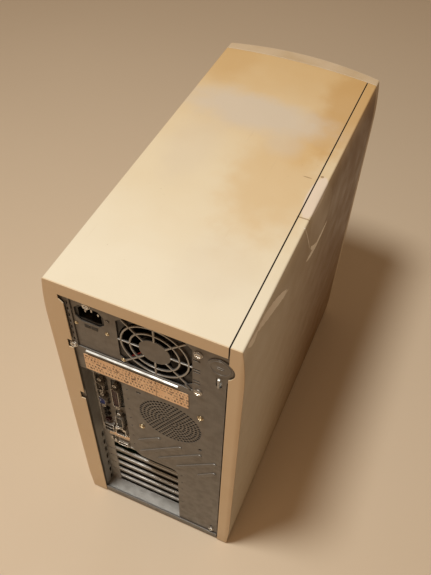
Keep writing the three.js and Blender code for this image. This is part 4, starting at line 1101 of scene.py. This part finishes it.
def d_port(node, long, slot, rows, pins, male):
    """A D-shaped connector: a metal shell with two nuts, round a core with pin holes or pins."""
    low, high = box_mm(node)
    place = centre(node)
    x, z = place.x, place.z
    end = high.y - 0.3
    back = PORT_FACE - 7
    shell = Build()
    shell.plate([d_outline(x, z, 8.6, long), d_outline(x, z, 7.5, long - 1.1)], back + 0.5, end, 0.12)
    for way in (-1, 1):
        nut_z = z + way * (long / 2 + 4.1)
        shell.plate([circle(x, nut_z, 2.7, 6), circle(x, nut_z, 1.3, 12)], back, end - 1.6, 0.25)
    shell.save(f"{node}_shell", "bright_steel")
    face = PORT_FACE - 3.5 if male else end - 1.2
    spread = (long - 6) / (pins - 0.5)
    spots = []
    for row in range(rows):
        a = x + (row - (rows - 1) / 2) * 5.6 / rows
        shift = 0.25 if row % 2 else -0.25
        spots += [(a, z + (pin - (pins - 1) / 2 + shift) * spread) for pin in range(pins)]
    core = Build()
    holes = [] if male else [circle(a, b, 0.5, 8) for a, b in spots]
    core.plate([d_outline(x, z, 7.4, long - 1.3), *holes], back + 0.5, face, 0.15)
    core.plate([around(x, z, 10.6, high.z - low.z, 1)], low.y, back + 0.6, 0.3)
    core.save(f"{node}_core", slot, nodes=[node])
    if male:
        prongs = Build()
        for a, b in spots:
            prongs.plate([circle(a, b, 0.45, 8)], face - 1, end - 1.5, 0.15)
        prongs.save(f"{node}_pins", "bright_steel")


def audio_sockets():
    x = PORT_COLUMNS[0]
    end = box_mm("audio_jacks")[1].y - 1.5
    for i, (z, slot) in enumerate(zip(JACK_Z, ("black_plastic", "black_plastic", "burgundy_plastic")), 1):
        build = Build()
        build.plate([circle(x, z, 3.6, 24), circle(x, z, 1.9, 20)], PORT_FACE - 7, end, 0.5)
        build.plate([circle(x, z, 3.6, 24)], PORT_FACE - 9, PORT_FACE - 6.6, 0.3)
        build.save(f"audio_socket_{i}", slot, nodes=["audio_jacks"])


def square_sockets():
    """A network socket with a latch notch, beside a pair of flat sockets with their tongues."""
    low, high = box_mm("network_usb_ports")
    z0, z1 = low.z, high.z
    end = high.y - 0.3
    x0, x1 = low.x, low.x + 14.3
    latch = z1 - 4.5
    notch = [(x0 + 1, z0 + 1.2), (x1 - 1, z0 + 1.2), (x1 - 1, latch), (x0 + 10, latch),
             (x0 + 10, z1 - 1.2), (x0 + 4.3, z1 - 1.2), (x0 + 4.3, latch), (x0 + 1, latch)]
    u0, u1 = low.x + 16.7, high.x
    gap = (z1 - z0 - 3) / 2
    mouths = (z0 + 1, z1 - 1 - gap)
    shell = Build()
    shell.plate([rounded(x0, x1, z0, z1, 0.5), notch], PORT_FACE - 8, end, 0.15)
    flat_holes = [rounded(u0 + 0.8, u1 - 0.8, z, z + gap, 0.4) for z in mouths]
    shell.plate([rounded(u0, u1, z0, z1, 0.6), *flat_holes], PORT_FACE - 8, end, 0.15)
    shell.save("square_socket_shells", "bright_steel", nodes=["network_usb_ports"])
    core = Build()
    core.plate([rounded(x0 + 0.5, u1 - 0.5, z0 + 0.5, z1 - 0.5, 0.4)], PORT_FACE - 10, PORT_FACE - 8.2, 0.3)
    for z in mouths:
        tongue = rounded(u0 + 2.2, u1 - 2.2, z + gap / 2 - 0.9, z + gap / 2 + 0.9, 0.3)
        core.plate([tongue], PORT_FACE - 9, end - 1.5, 0.2)
    core.save("square_socket_cores", "black_plastic", nodes=["network_usb_ports"])


def round_sockets():
    """The keyboard and mouse sockets: a metal ring round a core with pin holes."""
    low, high = box_mm("keyboard_mouse_ports")
    z = (low.z + high.z) / 2
    rings = Build()
    cores = Build()
    for x in PORT_COLUMNS:
        rings.plate([circle(x, z, 5.4, 28), circle(x, z, 4.6, 28)], PORT_FACE - 6, high.y - 0.5, 0.15)
        pins = [circle(a, b, 0.5, 8) for a, b in circle(x, z, 2.4, 6, TURN / 12)]
        cores.plate([circle(x, z, 4.5, 28), *pins], PORT_FACE - 8, high.y - 2, 0.2)
        cores.plate([circle(x, z, 6.6, 28), circle(x, z, 5.5, 28)], PORT_FACE - 8, high.y - 2.5, 0.3)
    rings.save("round_socket_rings", "bright_steel")
    cores.save("round_socket_cores", "black_plastic", nodes=["keyboard_mouse_ports"])


def card_sheet(section, z, x0, x1, y0, y1):
    """A card's cover or bracket: its section run over the slot, and a flat tongue beside it."""
    build = Build()
    build.sheet(section, CARD_SHEET, x0, SLOT_X[1] - 0.3)
    build.plate([rounded(SLOT_X[1] - 1, x1, z - 5, z + 5, 1.5)], y0, y1, 0.2)
    return build


def slot_covers():
    """The covers of the empty slots: flat above, the lower edge folded inwards."""
    for node in slot_nodes:
        low, high = box_mm(node)
        z = (low.z + high.z) / 2
        y = (low.y + high.y) / 2
        fold = z - 1.6
        section = [(y, z + CARD_HALF), (y, fold + 1.2), (y - 0.7, fold + 0.3), (y - 6, fold - 0.8)]
        build = card_sheet(section, z, low.x, high.x, low.y, high.y)
        build.save(f"{node}_sheet", "chassis_steel", nodes=[node])


def card_bracket():
    """The one card's bracket, with a round socket, a flat connector and its two fittings."""
    low, high = box_mm("card_bracket")
    z = FIRST_SLOT
    y = low.y + CARD_SHEET / 2
    build = card_sheet([(y, z + CARD_HALF), (y, z - CARD_HALF)], z, low.x, high.x, low.y, low.y + CARD_SHEET)
    build.save("card_bracket_sheet", "chassis_steel", nodes=["card_bracket"], material=ZINC)
    left, right = 44, 58
    latch_x, catch_x, socket_x = 62.5, 68.6, 20
    back = FLOOR_Y - 2
    mouth = rounded(left + 1.2, right - 1.2, z - 4.6, z + 0.2, 0.6)
    metal = Build()
    metal.plate([rounded(left, right, z - 6.2, z + 1.6, 0.8), mouth], back, high.y - 0.2, 0.2)
    metal.plate([around(latch_x, z - 2.2, 3.2, 7.2, 1.5)], back, FLOOR_Y + 2.4, 0.4)
    metal.plate([around(catch_x, z - 2.4, 3.6, 7.6, 0.7)], FLOOR_Y - 0.2, FLOOR_Y + 1.2, 0.2)
    metal.plate([circle(socket_x, z, 4.2, 24), circle(socket_x, z, 2.2, 20)], back, FLOOR_Y + 2.3, 0.3)
    metal.save("card_connectors", "bright_steel")
    core = rounded(left + 0.6, right - 0.6, z - 5.6, z + 1, 0.5)
    solid("card_connector_core", "black_plastic", [core], FLOOR_Y - 3, FLOOR_Y + 0.5, 0.2)


rear_panel()
panel_ribs()
finger_tab()
padlock_staple()
labels()
fasteners()
supply_fittings()
supply_grille()
power_socket()
supply_wires()
fan_rotor("psu_fan_rotor", "psu_fan", "y")
fan_rotor("case_fan_rotor", "case_fan", "y")
fan_rotor("cpu_fan_rotor", "cpu_fan", "x")
recess_floor()
port_lip()
recess_sides()
port_plate()
for name, shell_long, _, *pin_layout in D_PORTS:
    d_port(name, shell_long, *pin_layout)
audio_sockets()
square_sockets()
round_sockets()
slot_covers()
card_bracket()


# ---------- floor, light and camera ----------

def floor():
    half = 6.0
    mesh = bpy.data.meshes.new("floor")
    corners = [(-half, -half, 0), (half, -half, 0), (half, half, 0), (-half, half, 0)]
    mesh.from_pydata(corners, [], [(0, 1, 2, 3)])
    mesh.materials.append(pale_floor())
    in_scene("floor", mesh)


def lamp(name, place, target, size, power, colour):
    data = bpy.data.lights.new(name, "AREA")
    data.shape = "DISK"
    data.size = size
    data.energy = power
    data.color = colour
    light = in_scene(name, data)
    light.location = place
    light.rotation_euler = (Vector(target) - Vector(place)).to_track_quat("-Z", "Y").to_euler()


def lights():
    lamp("key", (0.30, 0.44, 2.0), (0, 0, 0.3), 0.34, 24, (1.0, 0.94, 0.84))
    lamp("fill", (0.35, 2.2, 1.1), (0, 0, 0.2), 1.6, 6.6, (1.0, 0.54, 0.26))
    world = bpy.data.worlds.new("room")
    world.use_nodes = True
    background = world.node_tree.nodes["Background"]
    background.inputs["Color"].default_value = (1.0, 0.64, 0.37, 1)
    background.inputs["Strength"].default_value = 0.2
    bpy.context.scene.world = world
    bpy.context.scene.view_settings.view_transform = "Standard"


def camera():
    """The eye, in metres and degrees."""
    data = bpy.data.cameras.new("camera")
    data.lens = 42.45
    data.sensor_width = 36
    eye = in_scene("camera", data)
    eye.location = (-0.1979, 0.5398, 0.9241)
    eye.rotation_euler = [math.radians(a) for a in (39.895, -1.387, -156.287)]
    bpy.context.scene.camera = eye


floor()
lights()
camera()
